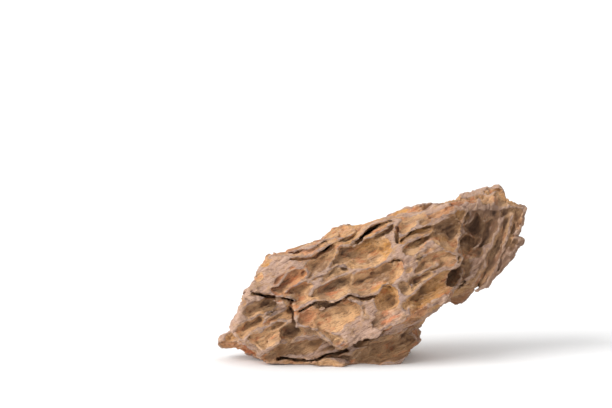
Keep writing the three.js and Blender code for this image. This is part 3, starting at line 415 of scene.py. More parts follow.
def linear(hex_colour):
    """An sRGB hex colour as a linear RGBA tuple."""
    channels = [int(hex_colour[i:i + 2], 16) / 255 for i in (1, 3, 5)]
    return tuple(c / 12.92 if c <= 0.04045 else ((c + 0.055) / 1.055) ** 2.4 for c in channels) + (1.0,)


def smooth_min(a, b, blend):
    overlap = np.maximum(blend - np.abs(a - b), 0) / blend
    return np.minimum(a, b) - overlap * overlap * blend / 4


def smooth_cut(field, cutter, blend):
    return -smooth_min(-field, cutter, blend)


def unit(vectors):
    return vectors / np.maximum(np.linalg.norm(vectors, axis=-1, keepdims=True), 1e-9)


def waved(points, waves):
    """The points moved by slow sine waves, so that nothing carved there is straight."""
    size, *lengths = waves
    sizes = (size, SHORT_SHARE * size)
    x, y, z = points[..., 0], points[..., 1], points[..., 2]
    moved = points.copy()
    for axis, wave_set in enumerate(WAVE_SETS):
        for ((dx, dy, dz), phase), length, height in zip(wave_set, lengths, sizes):
            way = dz * z + dy * y + dx * x
            moved[..., axis] += height * np.sin(2 * math.pi / length * way + phase)
    return moved


def line_distance(x, z, line, closed=False):
    """Distance to a line of points. Inside a closed one it is negative."""
    nearest = np.full(x.shape, 1e9)
    inside = np.zeros(x.shape, bool)
    ends = line[1:] + line[:1] if closed else line[1:]
    for (ax, az), (bx, bz) in zip(line, ends):
        ex, ez = bx - ax, bz - az
        t = np.clip(((x - ax) * ex + (z - az) * ez) / (ex * ex + ez * ez), 0, 1)
        nearest = np.minimum(nearest, np.hypot(x - ax - t * ex, z - az - t * ez))
        if closed and az != bz:
            inside ^= ((az > z) != (bz > z)) & (x < ex * (z - az) / ez + ax)
    return np.where(inside, -nearest, nearest)


class Chart:
    """A distance worked out once on a flat grid, and read between its points."""

    def __init__(self, distance, low, high, step):
        self.low, self.step = low, step
        xs = np.arange(low[0], high[0] + step, step)
        zs = np.arange(low[1], high[1] + step, step)
        self.table = distance(*np.meshgrid(xs, zs, indexing="ij")).astype(np.float32)

    def __call__(self, x, z):
        u = np.clip((x - self.low[0]) / self.step, 0, self.table.shape[0] - LAST_CELL)
        v = np.clip((z - self.low[1]) / self.step, 0, self.table.shape[1] - LAST_CELL)
        i, k = u.astype(np.int32), v.astype(np.int32)
        u, v, t = u - i, v - k, self.table
        near = t[i, k] * (1 - u) + t[i + 1, k] * u
        far = t[i, k + 1] * (1 - u) + t[i + 1, k + 1] * u
        return near * (1 - v) + far * v


# Mass of the stone

# The charts reach from the low corner to the high one, past every outline and crest.
CHART_LOW, CHART_HIGH = (-130, -30), (180, 170)
SLAB_CHART_STEP = 1.0
CREST_CHART_STEP = 0.75
slab_charts = [
    Chart(partial(line_distance, line=slab["outline"], closed=True), CHART_LOW, CHART_HIGH, SLAB_CHART_STEP)
    for slab in SLABS
]


def slab_field(slab, chart, points):
    x, y, z = points[..., 0], points[..., 1], points[..., 2]
    mx, my, mz = slab["middle"]
    plane = my + slab["lean"][0] * (x - mx) + slab["lean"][1] * (z - mz)
    half = slab["half"] - slab["taper"] * ((x - mx) / TAPER_REACH) ** 2
    beside = chart(x, z) + slab["rim"]
    before = np.abs(y - plane) - half + slab["rim"]
    rounded = np.hypot(np.maximum(beside, 0), np.maximum(before, 0))
    return rounded + np.minimum(np.maximum(beside, before), 0) - slab["rim"]


def sole_field(bent, z):
    """Distance below the sole: over 0 where the stone is cut away."""
    out = (bent[..., :2] - SOLE["centre"]) / SOLE["half"]
    return SOLE["rise"] * (np.sum(out * out, axis=-1) - 1) - z


def body_field(points):
    bent = waved(points, BODY_WAVES)
    field = np.full(points.shape[:-1], 1e3, points.dtype)
    for slab, chart in zip(SLABS, slab_charts):
        field = smooth_min(field, slab_field(slab, chart, bent), SLAB_BLEND)
    return np.maximum(field, sole_field(bent, points[..., 2]))


def strike(starts, directions):
    """Walks from each start to the skin of the body. Returns the places and which ones hit."""
    points = starts.copy()
    for _ in range(STRIKE["steps"]):
        stride = np.clip(body_field(points), -STRIKE["back"], STRIKE["furthest"])
        points += directions * stride[..., None] * STRIKE["share"]
    return points, np.abs(body_field(points)) < STRIKE["miss"]


def skin_normals(points):
    slope = np.empty_like(points)
    for axis in range(3):
        offset = np.zeros(3)
        offset[axis] = STRIKE["normal_reach"]
        slope[..., axis] = body_field(points + offset) - body_field(points - offset)
    return unit(slope)


# Pits

def leaned(a, b, degrees):
    """Turns axis a towards the inside of b, and b after it."""
    c, s = math.cos(math.radians(degrees)), math.sin(math.radians(degrees))
    return a * c - b * s, b * c + a * s


def pit_at(place, heading, normal, size, lean, seam):
    length, width, depth = size
    along = unit(heading - normal * (heading @ normal))
    across, out = leaned(np.cross(normal, along), normal, lean[0])
    out, along = leaned(out, along, lean[1])
    return dict(
        centre=place + out * PIT_LIFT * depth,
        axes=np.array([along, across, out]),
        half=np.array([length / 2, width / 2, depth * (1 + PIT_LIFT)]),
        colour=linear(SEAMS[seam])[:3],
    )


def front_pits():
    places = np.array([row[:2] for row in FRONT_PITS])
    sights = unit(places[:, :1] * RIGHTWARD + places[:, 1:] * UPWARD - SIGHT_POINT)
    struck, _ = strike(SIGHT_POINT + sights * (SIGHT_RANGE - STRIKE["lead"]), sights)
    for row, place, normal in zip(FRONT_PITS, struck, skin_normals(struck)):
        _, _, length, width, rise, depth, seam = row
        heading = RIGHTWARD * math.cos(math.radians(rise)) + UPWARD * math.sin(math.radians(rise))
        yield pit_at(place, heading, normal, (length, width, depth), FRONT_LEAN, seam)


def sequence(seed):
    """A fixed sequence of numbers between 0 and 1."""
    state, factor, period = seed, 16807, 2 ** 31 - 1
    while True:
        state = state * factor % period
        yield state / period


def scattered_pits():
    numbers = sequence(SCATTER["seed"])
    directions, starts, shapes = [], [], []
    for _ in range(SCATTER["tries"]):
        height = next(numbers) * 2 - 1
        turn = next(numbers) * 2 * math.pi
        level = math.sqrt(1 - height * height)
        direction = -np.array([level * math.cos(turn), level * math.sin(turn), height])
        drift = np.array([next(numbers) - 0.5 for _ in range(3)])
        directions.append(direction)
        starts.append(SCATTER["aim"] + drift * SCATTER["spread"] - direction * SCATTER["start"])
        shapes.append([next(numbers) for _ in range(4)])
    places, hits = strike(np.array(starts), np.array(directions))
    normals = skin_normals(places)
    facing = np.sum(normals * unit(SIGHT_POINT - places), axis=1)
    for place, normal, shape, hit, face in zip(places, normals, shapes, hits, facing):
        underneath = place[2] < SCATTER["ground_level"] and normal[2] < SCATTER["ground_facing"]
        if not hit or underneath or face > SCATTER["face_limit"]:
            continue
        size, slimness, deepness, swing = shape
        length = SCATTER["shortest"] + SCATTER["span"] * size ** SCATTER["bias"]
        width = length * (SCATTER["width"][0] + SCATTER["width"][1] * slimness)
        depth = width * (SCATTER["depth"][0] + SCATTER["depth"][1] * deepness)
        heading = GRAIN + (swing - 0.5) * SCATTER["swing"] * np.cross(normal, GRAIN)
        seam = SCATTER["seams"][int(slimness * len(SCATTER["seams"]))]
        yield pit_at(place, heading, normal, (length, width, depth), (SCATTER["lean"], 0), seam)


def hollow_pits():
    for centre, (along_half, into_half, across_half), rise in HOLLOWS:
        c, s = math.cos(math.radians(rise)), math.sin(math.radians(rise))
        along, across = np.array([c, 0, s]), np.array([-s, 0, c])
        yield dict(
            centre=np.array(centre, float),
            axes=np.array([along, across, np.cross(along, across)]),
            half=np.array([along_half, across_half, into_half], float),
        )


def pit_field(pit, points):
    """Distance to an ellipsoid, negative inside it."""
    parts = (points - pit["centre"].astype(points.dtype)) @ pit["axes"].T.astype(points.dtype)
    parts /= pit["half"].astype(points.dtype)
    near = np.sqrt(np.sum(parts * parts, axis=-1))
    slope = np.sqrt(np.sum((parts / pit["half"].astype(points.dtype)) ** 2, axis=-1))
    return near * (near - 1) / np.maximum(slope, 1e-6)


# Crests and cracks of the front

def seen(points):
    """The points' places on the drawing plane, as seen from the sight point."""
    offset = points - SIGHT_POINT.astype(points.dtype)
    scale = SIGHT_RANGE / (offset[..., 1] * INWARD[1] + offset[..., 2] * INWARD[2])
    across = SIGHT_POINT[0] + offset[..., 0] * scale
    up = SIGHT_POINT @ UPWARD + (offset[..., 1] * UPWARD[1] + offset[..., 2] * UPWARD[2]) * scale
    return across, up


crest_chart = Chart(
    lambda x, z: np.min([line_distance(x, z, line) for line in CRESTS], axis=0),
    CHART_LOW, CHART_HIGH, CREST_CHART_STEP,
)


def marked(field, skin, points):
    """The field with its crests kept and its cracks cut, at points of the front."""
    across, up = seen(points)
    below = np.maximum(-skin, 0)
    aside = crest_chart(across, up - CREST_RISE * below)
    wall = (aside - CREST_HALF_WIDTH - CREST_SPREAD * below) / math.hypot(1, CREST_SPREAD)
    result = smooth_min(field, np.maximum(wall, skin), CREST_BLEND)
    for line, width, depth, rise in CRACKS:
        xs, zs = zip(*line)
        near = (across > min(xs) - CRACK_REACH) & (across < max(xs) + CRACK_REACH)
        near &= (up > min(zs) - CRACK_REACH) & (up < max(zs) + CRACK_REACH_UP)
        deep = below[near]
        share = CRACK_TAPER["start"] - CRACK_TAPER["loss"] * deep / depth
        half = width / 2 * np.clip(share, CRACK_TAPER["least"], 1)
        aside = line_distance(across[near], up[near] - rise * deep, line) - half
        result[near] = smooth_cut(result[near], np.maximum(aside, deep - depth), CRACK_BLEND)
    return result


# The carved stone as a grid and as a surface

def near_slices(centre, reach, low, step):
    first = np.maximum((centre - reach - low) // step, 0).astype(int)
    last = ((centre + reach - low) // step).astype(int) + 2
    return tuple(slice(a, max(a, b)) for a, b in zip(first, last))


def carved_grid(step):
    """The field of the carved stone on a grid, its skin field, its low corner and its pits."""
    low, high = (np.array(corner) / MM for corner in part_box(STONE_NODE))
    low, high = low - GRID_MARGIN, high + GRID_MARGIN
    axes = [np.arange(low[i], high[i] + step, step) for i in range(3)]
    points = np.stack(np.meshgrid(*axes, indexing="ij"), axis=-1).astype(np.float32)
    skin = body_field(points)
    field = skin.copy()
    moved = waved(points, MARK_WAVES)

    def cut(pit, blend):
        place = near_slices(pit["centre"], pit["half"].max() + PIT_REACH, low, step)
        field[place] = smooth_cut(field[place], pit_field(pit, moved[place]), blend)

    pits = [*front_pits(), *scattered_pits()]
    for pit in pits:
        cut(pit, PIT_BLEND)
    x, y, z = points[..., 0], points[..., 1], points[..., 2]
    plane = FRONT["y"] + FRONT["lean"] * (z - FRONT["height"]) + FRONT["turn"] * x
    front = (field > -FRONT["depth"]) & (skin < FRONT["margin"]) & (y < plane)
    field[front] = marked(field[front], skin[front], moved[front])
    for pit in hollow_pits():
        cut(pit, HOLLOW_BLEND)
    return np.maximum(field, -z), skin, low, pits


def surface_of(field, low, step):
    """Vertices and quads of the field's zero surface: one vertex in each cell that it crosses."""
    inside = field < 0
    count = np.zeros([n - 1 for n in field.shape], np.int8)
    for i, j, k in CELL_CORNERS:
        count += inside[i:i + count.shape[0], j:j + count.shape[1], k:k + count.shape[2]]
    cells = np.argwhere((count > 0) & (count < len(CELL_CORNERS)))
    number = np.full(count.shape, -1, np.int32)
    number[tuple(cells.T)] = np.arange(len(cells))
    total, crossings = np.zeros((len(cells), 3)), np.zeros(len(cells))
    for axis in range(3):
        for corner in CELL_CORNERS:
            if corner[axis]:
                continue
            other = np.array(corner)
            other[axis] = 1
            a, b = field[tuple((cells + corner).T)], field[tuple((cells + other).T)]
            crosses = (a < 0) != (b < 0)
            place = np.tile(np.array(corner, float), (len(cells), 1))
            place[:, axis] = np.where(crosses, a / np.where(crosses, a - b, 1), 0)
            total[crosses] += place[crosses]
            crossings[crosses] += 1
    vertices = (cells + total / crossings[:, None]) * step + low
    quads = []
    for axis in range(3):
        u, w = (axis + 1) % 3, (axis + 2) % 3
        near, far = [slice(1, -1)] * 3, [slice(1, -1)] * 3
        near[axis], far[axis] = slice(0, -1), slice(1, None)
        edges = np.argwhere(inside[tuple(near)] != inside[tuple(far)])
        leaving = inside[tuple(far)][tuple(edges.T)]
        edges[:, u] += 1
        edges[:, w] += 1
        around = []
        for du, dw in ((1, 1), (0, 1), (0, 0), (1, 0)):
            cell = edges.copy()
            cell[:, u] -= du
            cell[:, w] -= dw
            around.append(number[tuple(cell.T)])
        quad = np.stack(around, axis=1)
        quad[leaving] = quad[leaving][:, ::-1]
        quads.append(quad)
    return vertices, np.concatenate(quads)


def read_grid(grid, points, low, step):
    """Values of a grid at points between its own."""
    place = np.clip((points - low) / step, 0, np.array(grid.shape) - LAST_CELL)
    base = place.astype(int)
    part = place - base
    value = 0
    for corner in CELL_CORNERS:
        weight = np.prod(np.where(corner, part, 1 - part), axis=1)
        value = value + weight * grid[tuple((base + corner).T)]
    return value


def blurred(grid, radius):
    """The grid averaged over a cube of 2 radius + 1 points a side."""
    for axis in range(3):
        padded = np.concatenate([np.zeros_like(np.take(grid, [0], axis)), np.cumsum(grid, axis)], axis)
        size = padded.shape[axis]
        upper = np.minimum(np.arange(size - 1) + radius + 1, size - 1)
        lower = np.maximum(np.arange(size - 1) - radius, 0)
        grid = (np.take(padded, upper, axis) - np.take(padded, lower, axis)) / (2 * radius + 1)
    return grid


def seam_colours(vertices, pits):
    """The colour of the clay seam that each vertex lies in, with painted shade at the start of each pit."""
    moved = waved(vertices, MARK_WAVES)
    base, start, end = (np.array(linear(SEAMS[name])[:3]) for name in (BASE_SEAM, SHADED_START_SEAM, END_SEAM))
    total = np.tile(base * BASE_SHARE, (len(vertices), 1))
    weight = np.full(len(vertices), BASE_SHARE)
    for pit in pits:
        reach = pit["half"].max() + SEAM_REACH
        near = np.flatnonzero(np.all(np.abs(moved - pit["centre"]) < reach, axis=1))
        share = np.exp(-((pit_field(pit, moved[near]) / SEAM_FADE) ** 2))
        along = np.clip((moved[near] - pit["centre"]) @ pit["axes"][0] / pit["half"][0], -1, 1)[:, None]
        colour = pit["colour"] + END_SHARE * np.maximum(along, 0) * (end - pit["colour"])
        # Painted shade: the start, the left end of the pit, leans to brown.
        colour = colour + SHADED_START_SHARE * np.maximum(-along, 0) * (start - colour)
        total[near] += share[:, None] * colour
        weight[near] += share
    return total / weight[:, None]


# Meshes

def mesh_from(name, vertices, quads):
    """A smooth mesh in metres from vertices in millimetres."""
    mesh = bpy.data.meshes.new(name)
    mesh.vertices.add(len(vertices))
    mesh.vertices.foreach_set("co", (vertices * MM).ravel())
    mesh.loops.add(quads.size)
    mesh.loops.foreach_set("vertex_index", quads.ravel())
    mesh.polygons.add(len(quads))
    mesh.polygons.foreach_set("loop_start", np.arange(0, quads.size, 4))
    mesh.update(calc_edges=True)
    mesh.shade_smooth()
    return mesh


def set_values(mesh, name, values):
    """Stores one number or one colour for each vertex."""
    kind = "FLOAT" if values.ndim == 1 else "FLOAT_COLOR"
    attribute = mesh.attributes.new(name, kind, "POINT")
    if values.ndim == 1:
        attribute.data.foreach_set("value", values.astype(np.float32))
    else:
        rgba = np.concatenate([values, np.ones((len(values), 1))], axis=1)
        attribute.data.foreach_set("color", rgba.astype(np.float32).ravel())


def link(data, name):
    piece = bpy.data.objects.new(name, data)
    bpy.context.scene.collection.objects.link(piece)
    return piece


class Neighbours:
    """Means over the vertices that a vertex shares an edge with."""

    def __init__(self, mesh):
        ends = np.empty(len(mesh.edges) * 2, int)
        mesh.edges.foreach_get("vertices", ends)
        self.a, self.b = ends.reshape(-1, 2).T
        self.total = len(mesh.vertices)
        self.count = np.bincount(self.a, minlength=self.total) + np.bincount(self.b, minlength=self.total)

    def mean(self, values):
        summed = np.bincount(self.a, values[self.b], self.total)
        summed += np.bincount(self.b, values[self.a], self.total)
        return summed / np.maximum(self.count, 1)

    def smooth(self, values, rounds):
        for _ in range(rounds):
            values = 0.5 * values + 0.5 * self.mean(values)
        return values


def set_bulge_and_pitting(mesh):
    """Stores how far each vertex stands out from its neighbours, and how pitted the skin is there."""
    count = len(mesh.vertices)
    places, normals, depth = np.empty(count * 3), np.empty(count * 3), np.empty(count)
    mesh.vertices.foreach_get("co", places)
    mesh.vertex_normals.foreach_get("vector", normals)
    mesh.attributes["depth"].data.foreach_get("value", depth)
    places, normals = places.reshape(-1, 3) / MM, normals.reshape(-1, 3)
    neighbours = Neighbours(mesh)
    mean = np.stack([neighbours.mean(places[:, axis]) for axis in range(3)], axis=1)
    stand = np.sum((places - mean) * normals, axis=1)
    # The bulge places painted highlight on convex edges and painted shade in creases.
    set_values(mesh, "bulge", neighbours.smooth(stand, BULGE_ROUNDS))
    set_values(mesh, "pitted", neighbours.smooth(np.minimum(depth, PITTED_DEPTH), PITTED_ROUNDS))


# Node trees

def add(tree, kind, inputs=None, **settings):
    """Adds a node, makes its settings, and fills its inputs. An input takes a value, a socket, or a
    node, which stands for its first output."""
    node = tree.nodes.new(kind)
    for name, value in settings.items():
        setattr(node, name, value)
    for name, value in (inputs or {}).items():
        source = value.outputs[0] if isinstance(value, bpy.types.Node) else value
        if isinstance(source, bpy.types.NodeSocket):
            tree.links.new(source, node.inputs[name])
        else:
            node.inputs[name].default_value = source
    return node


def grain_vector(tree, position, size):
    """Coordinates turned to the grain, in which a size in millimetres along and across it is one
    unit. The grain turns up steeply in the broken end."""
    along, across = size
    rise = add(
        tree, "ShaderNodeMapRange",
        {
            0: add(tree, "ShaderNodeSeparateXYZ", {0: position}),
            1: END_TURNS[0] * MM, 2: END_TURNS[1] * MM, 3: GRAIN_RISE, 4: END_GRAIN_RISE,
        },
    )
    turned = add(
        tree, "ShaderNodeVectorRotate",
        {"Vector": position, "Center": Vector(END_CENTRE) * MM, "Angle": rise}, rotation_type="Y_AXIS",
    )
    scale = (1 / (along * MM), 1 / (across * MM), 1 / (across * MM))
    return add(tree, "ShaderNodeVectorMath", {0: turned, 1: scale}, operation="MULTIPLY")


def grain_pattern(tree, position, size, detail, roughness):
    """A cloudy pattern between 0 and 1, drawn out along the grain."""
    vector = grain_vector(tree, position, size)
    return add(
        tree, "ShaderNodeTexNoise",
        {"Vector": vector, "Scale": 1.0, "Detail": detail, "Roughness": roughness},
    )


# Relief of the skin

# Flakes lie this far apart across the grain, and their edges wander by some pitches. A flake falls
# off over the last share of its pitch, and the skin was level with this share of its height.
FLAKE_PITCH = 5.5
FLAKE_WANDER = 5.0
FLAKE_EDGE = 0.22
FLAKE_LEVEL = 0.6

# Size of the pockmarks along and across the grain, and how softly they run into one another.
POCKMARK_SIZE = (9, 4)
POCKMARK_BLEND = 0.3

# Patterns of the relief: millimetres along and across the grain, detail and roughness.
RELIEF_PATTERNS = {
    "flake edges": ((22, 9), 3.0, 0.55),
    "flaky patches": ((34, 16), 2.0, 0.5),
    "lumps": ((9, 5), 5.0, 0.68),
    "pocked patches": ((26, 14), 1.0, 0.5),
}


def weathering_tree(material):
    """Drops crumbs, and works flakes, lumps and pockmarks into the skin along its normals."""
    tree = bpy.data.node_groups.new("weathering", "GeometryNodeTree")
    face = tree.interface
    face.new_socket("Geometry", in_out="INPUT", socket_type="NodeSocketGeometry")
    for name in ("Flakes", "Lumps", "Pockmarks", "Flat below"):
        face.new_socket(name, in_out="INPUT", socket_type="NodeSocketFloat")
    face.new_socket("Crumb size", in_out="INPUT", socket_type="NodeSocketInt")
    face.new_socket("Geometry", in_out="OUTPUT", socket_type="NodeSocketGeometry")
    put = partial(add, tree)
    given = put("NodeGroupInput").outputs
    position = put("GeometryNodeInputPosition")

    # Crumbs are loose pieces with few points.
    island = put("GeometryNodeInputMeshIsland").outputs["Island Index"]
    counted = put(
        "GeometryNodeAccumulateField", {0: 1, "Group ID": island}, data_type="INT", domain="POINT",
    )
    crumb = put(
        "FunctionNodeCompare", {2: counted.outputs["Total"], 3: given["Crumb size"]},
        data_type="INT", operation="LESS_THAN",
    )
    whole = put(
        "GeometryNodeDeleteGeometry", {"Geometry": given[0], "Selection": crumb}, domain="POINT",
    )

    # The patterns, centred on 0.
    wander, flaky, lumpy, pocked = (
        put(
            "ShaderNodeMath", {0: grain_pattern(tree, position, *pattern), 1: 0.5},
            operation="SUBTRACT",
        )
        for pattern in RELIEF_PATTERNS.values()
    )

    # Flakes lie over one another across the grain: each rises slowly and ends in a steep edge.
    pitches = put(
        "ShaderNodeSeparateXYZ", {0: grain_vector(tree, position, (FLAKE_PITCH, FLAKE_PITCH))},
    ).outputs[2]
    bend = put("ShaderNodeMath", {0: wander, 1: FLAKE_WANDER}, operation="MULTIPLY")
    bent = put("ShaderNodeMath", {0: pitches, 1: bend}, operation="ADD")
    phase = put("ShaderNodeMath", {0: bent}, operation="FRACT")
    rest = put("ShaderNodeMath", {0: 1.0, 1: phase}, operation="SUBTRACT")
    rising = put("ShaderNodeMath", {0: phase, 1: 1 - FLAKE_EDGE}, operation="DIVIDE")
    falling = put("ShaderNodeMath", {0: rest, 1: FLAKE_EDGE}, operation="DIVIDE")
    flake = put("ShaderNodeMath", {0: rising, 1: falling}, operation="MINIMUM")
    levelled = put("ShaderNodeMath", {0: flake, 1: FLAKE_LEVEL}, operation="SUBTRACT")
    strength = put("ShaderNodeMapRange", {0: flaky, 1: -0.10, 2: 0.10, 3: 0.25, 4: 1.0})
    shaped = put("ShaderNodeMath", {0: levelled, 1: strength}, operation="MULTIPLY")
    flakes = put("ShaderNodeMath", {0: shaped, 1: given["Flakes"]}, operation="MULTIPLY")

    lumps = put("ShaderNodeMath", {0: lumpy, 1: given["Lumps"]}, operation="MULTIPLY")

    cells = put(
        "ShaderNodeTexVoronoi",
        {
            "Vector": grain_vector(tree, position, POCKMARK_SIZE),
            "Scale": 1.0, "Smoothness": POCKMARK_BLEND,
        },
        feature="SMOOTH_F1",
    )
    cup = put("ShaderNodeMapRange", {0: cells.outputs["Distance"], 1: 0.1, 2: 0.6, 3: 1.0, 4: 0.0})
    patch = put("ShaderNodeMapRange", {0: pocked, 1: -0.06, 2: 0.06})
    cups = put("ShaderNodeMath", {0: cup, 1: patch}, operation="MULTIPLY")
    pockmarks = put("ShaderNodeMath", {0: cups, 1: given["Pockmarks"]}, operation="MULTIPLY")

    # The relief fades out to the resting flat.
    raised = put("ShaderNodeMath", {0: flakes, 1: lumps}, operation="ADD")
    relief = put("ShaderNodeMath", {0: raised, 1: pockmarks}, operation="SUBTRACT")
    up = put("ShaderNodeSeparateXYZ", {0: position}).outputs[2]
    above = put("ShaderNodeMapRange", {0: up, 1: 0.0, 2: given["Flat below"]})
    height = put("ShaderNodeMath", {0: relief, 1: above}, operation="MULTIPLY")
    normal = put("GeometryNodeInputNormal")
    offset = put("ShaderNodeVectorMath", {0: normal, "Scale": height}, operation="SCALE")
    worked = put("GeometryNodeSetPosition", {"Geometry": whole, "Offset": offset})
    real = put("GeometryNodeRealizeInstances", {0: worked})
    coated = put("GeometryNodeSetMaterial", {"Geometry": real, "Material": material})
    put("NodeGroupOutput", {0: coated})
    return tree


def set_input(modifier, name, value):
    """Sets a Geometry Nodes input by its socket's identifier."""
    for item in modifier.node_group.interface.items_tree:
        if item.item_type == "SOCKET" and item.in_out == "INPUT" and item.name == name:
            modifier[item.identifier] = value


def flattened(piece, name):
    """A new object with the plain mesh of a piece as its modifiers make it. The piece is removed."""
    graph = bpy.context.evaluated_depsgraph_get()
    mesh = bpy.data.meshes.new_from_object(piece.evaluated_get(graph), depsgraph=graph)
    bpy.data.objects.remove(piece)
    mesh.name = name
    return link(mesh, name)


# Materials

# Patterns of the finish: millimetres along and across the grain, detail and roughness. The grit
# and the layers of the real stone are finer, and are drawn as coarse as they need to be to show.
PATTERNS = {
    "streaks": ((20, 1.6), 4.0, 0.65),
    "mottle": ((7, 3.5), 4.0, 0.65),
    "patches": ((26, 12), 3.0, 0.55),
    "flecks": ((5, 1.4), 3.0, 0.7),
    "iron clouds": ((15, 6), 3.0, 0.6),
    "ragged rim": ((5, 2), 4.0, 0.65),
    "layers": ((9, 0.8), 2.0, 0.6),
    "grit": ((1.2, 0.9), 2.0, 0.7),
}

# The broken end's brown, partly its own clay and partly painted shade on the side turned from the
# key light, grows between these two places along X, and ends between these two heights under its top.
BROKEN_FROM, BROKEN_FULL = 45, 105
BROKEN_TOP, BROKEN_UNDER = 122, 112

# Height of the relief that the grit and the layers feign, in millimetres.
GRIT_RELIEF = 0.4
LAYER_RELIEF = 1.5

# Input and output numbers of a colour Mix node.
MIX_A, MIX_B, MIX_OUT = 6, 7, 2


def new_material(name):
    material = bpy.data.materials.new(name)
    material.use_nodes = True
    return material, material.node_tree, material.node_tree.nodes["Principled BSDF"]


def stained(tree, colour, *stains):
    """A colour under stains laid one over another. Each is a colour, a pattern, the two levels of
    the pattern between which the stain grows from nothing to its full share, and that share."""
    for stain, pattern, (low, high), share in stains:
        amount = add(tree, "ShaderNodeMapRange", {0: pattern, 1: low, 2: high, 4: share})
        mixed = add(tree, "ShaderNodeMix", {0: amount, MIX_A: colour, MIX_B: stain}, data_type="RGBA")
        colour = mixed.outputs[MIX_OUT]
    return colour


def weathered_clay_stone(settings):
    """Clay stone, eaten out by water: a dull mauve skin is left on the plates and, greyer, along the
    crests. The pits show seams of tan, ochre and rust clay. Painted shade darkens nooks and creases."""
    material, tree, shader = new_material("weathered clay stone")
    put = partial(add, tree)
    place = put("ShaderNodeTexCoord").outputs["Object"]
    seam = put("ShaderNodeAttribute", attribute_name="seam").outputs["Color"]
    depth, pitted, bulge, nook_shade, recess_shade = (
        put("ShaderNodeAttribute", attribute_name=name).outputs["Fac"]
        for name in ("depth", "pitted", "bulge", "nook_shade", "recess_shade")
    )
    streaks, mottle, patches, flecks, iron, ragged, layers, grit = (
        grain_pattern(tree, place, *pattern) for pattern in PATTERNS.values()
    )

    # Skin: mauve on the plates and greyer on the crests between the pits, both with stains of clay.
    skin = stained(
        tree, settings.plate,
        (settings.crest, pitted, (0.4, 1.3), 1.0),
        (settings.tan, mottle, (0.50, 0.64), 0.75),
        (settings.umber, streaks, (0.46, 0.32), 0.6),
        (settings.pale_fleck_and_highlight, flecks, (0.56, 0.70), 0.6),
    )
    # Clay of the pits: the seam's own colour, with pale, rusty and brown streaks along the grain.
    clay = stained(
        tree, seam,
        (settings.pale, patches, (0.40, 0.62), 0.6),
        (settings.pale, streaks, (0.54, 0.70), 0.5),
        (settings.rust, iron, (0.55, 0.68), 0.55),
        (settings.umber, mottle, (0.42, 0.30), 0.45),
    )
    # The skin ends raggedly just under the rim of each pit.
    shift = put("ShaderNodeMapRange", {0: ragged, 1: 0.3, 2: 0.7, 3: -0.9, 4: 0.9})
    rim = put("ShaderNodeMath", {0: depth, 1: shift}, operation="ADD")
    # The broken end is browner, partly its own clay and partly painted shade. Painted shade darkens
    # recesses such as round the foot, and nooks and creases; the edges get a pale painted highlight.
    x, _, z = put("ShaderNodeSeparateXYZ", {0: place}).outputs
    patchy = put("ShaderNodeMapRange", {0: patches, 1: 0.62, 2: 0.38, 3: 0.4, 4: 0.8})
    broken = put("ShaderNodeMapRange", {0: x, 1: BROKEN_FROM * MM, 2: BROKEN_FULL * MM, 4: patchy})
    colour = stained(
        tree, skin,
        (clay, rim, (0.2, 1.3), 1.0),
        # Brown of the broken end, partly painted shade on the side turned from the key light.
        (settings.umber, z, (BROKEN_TOP * MM, BROKEN_UNDER * MM), broken),
        # Painted shade in recesses, such as under the overhangs and round the foot.
        (settings.umber, recess_shade, (0.58, 0.74), 0.6),
        # Painted shade in nooks, where much solid lies round the place.
        (settings.nook_shade_colour, nook_shade, (0.62, 0.86), 0.4),
        # Painted shade in creases.
        (settings.nook_shade_colour, bulge, (-0.06, -0.30), 0.5),
        # Painted highlight along convex edges.
        (settings.pale_fleck_and_highlight, bulge, (0.05, 0.18), 0.35),
        (settings.umber, layers, (0.44, 0.34), 0.6),
    )
    shade = put("ShaderNodeMapRange", {0: grit, 3: 0.72, 4: 1.30})
    gritty = put(
        "ShaderNodeMix", {0: 1.0, MIX_A: colour, MIX_B: shade}, data_type="RGBA", blend_type="MULTIPLY",
    )
    dullness = put("ShaderNodeMapRange", {0: mottle, 1: 0.3, 2: 0.7, 3: 0.75, 4: 0.95})
    fine = put("ShaderNodeBump", {"Height": grit, "Strength": 0.6, "Distance": GRIT_RELIEF * MM})
    layered = put(
        "ShaderNodeBump",
        {"Height": layers, "Strength": 0.9, "Distance": LAYER_RELIEF * MM, "Normal": fine},
    )
    tree.links.new(gritty.outputs[MIX_OUT], shader.inputs["Base Color"])
    tree.links.new(dullness.outputs[0], shader.inputs["Roughness"])
    tree.links.new(layered.outputs[0], shader.inputs["Normal"])
    shader.inputs["Specular IOR Level"].default_value = 0.3
    return material


def white_card(settings):
    """Matt white card: even and without gloss, so only the stone's soft shadow shows on it."""
    material, _, shader = new_material("white card")
    shader.inputs["Base Color"].default_value = tuple(settings.floor_colour)
    shader.inputs["Roughness"].default_value = 0.9
    shader.inputs["Specular IOR Level"].default_value = 0.0
    return material


# Settings that a user would change

def colour_property(name, description, hex_colour):
    return FloatVectorProperty(
        name=name, description=description, default=linear(hex_colour), size=4, subtype="COLOR",
        min=0, max=1,
    )


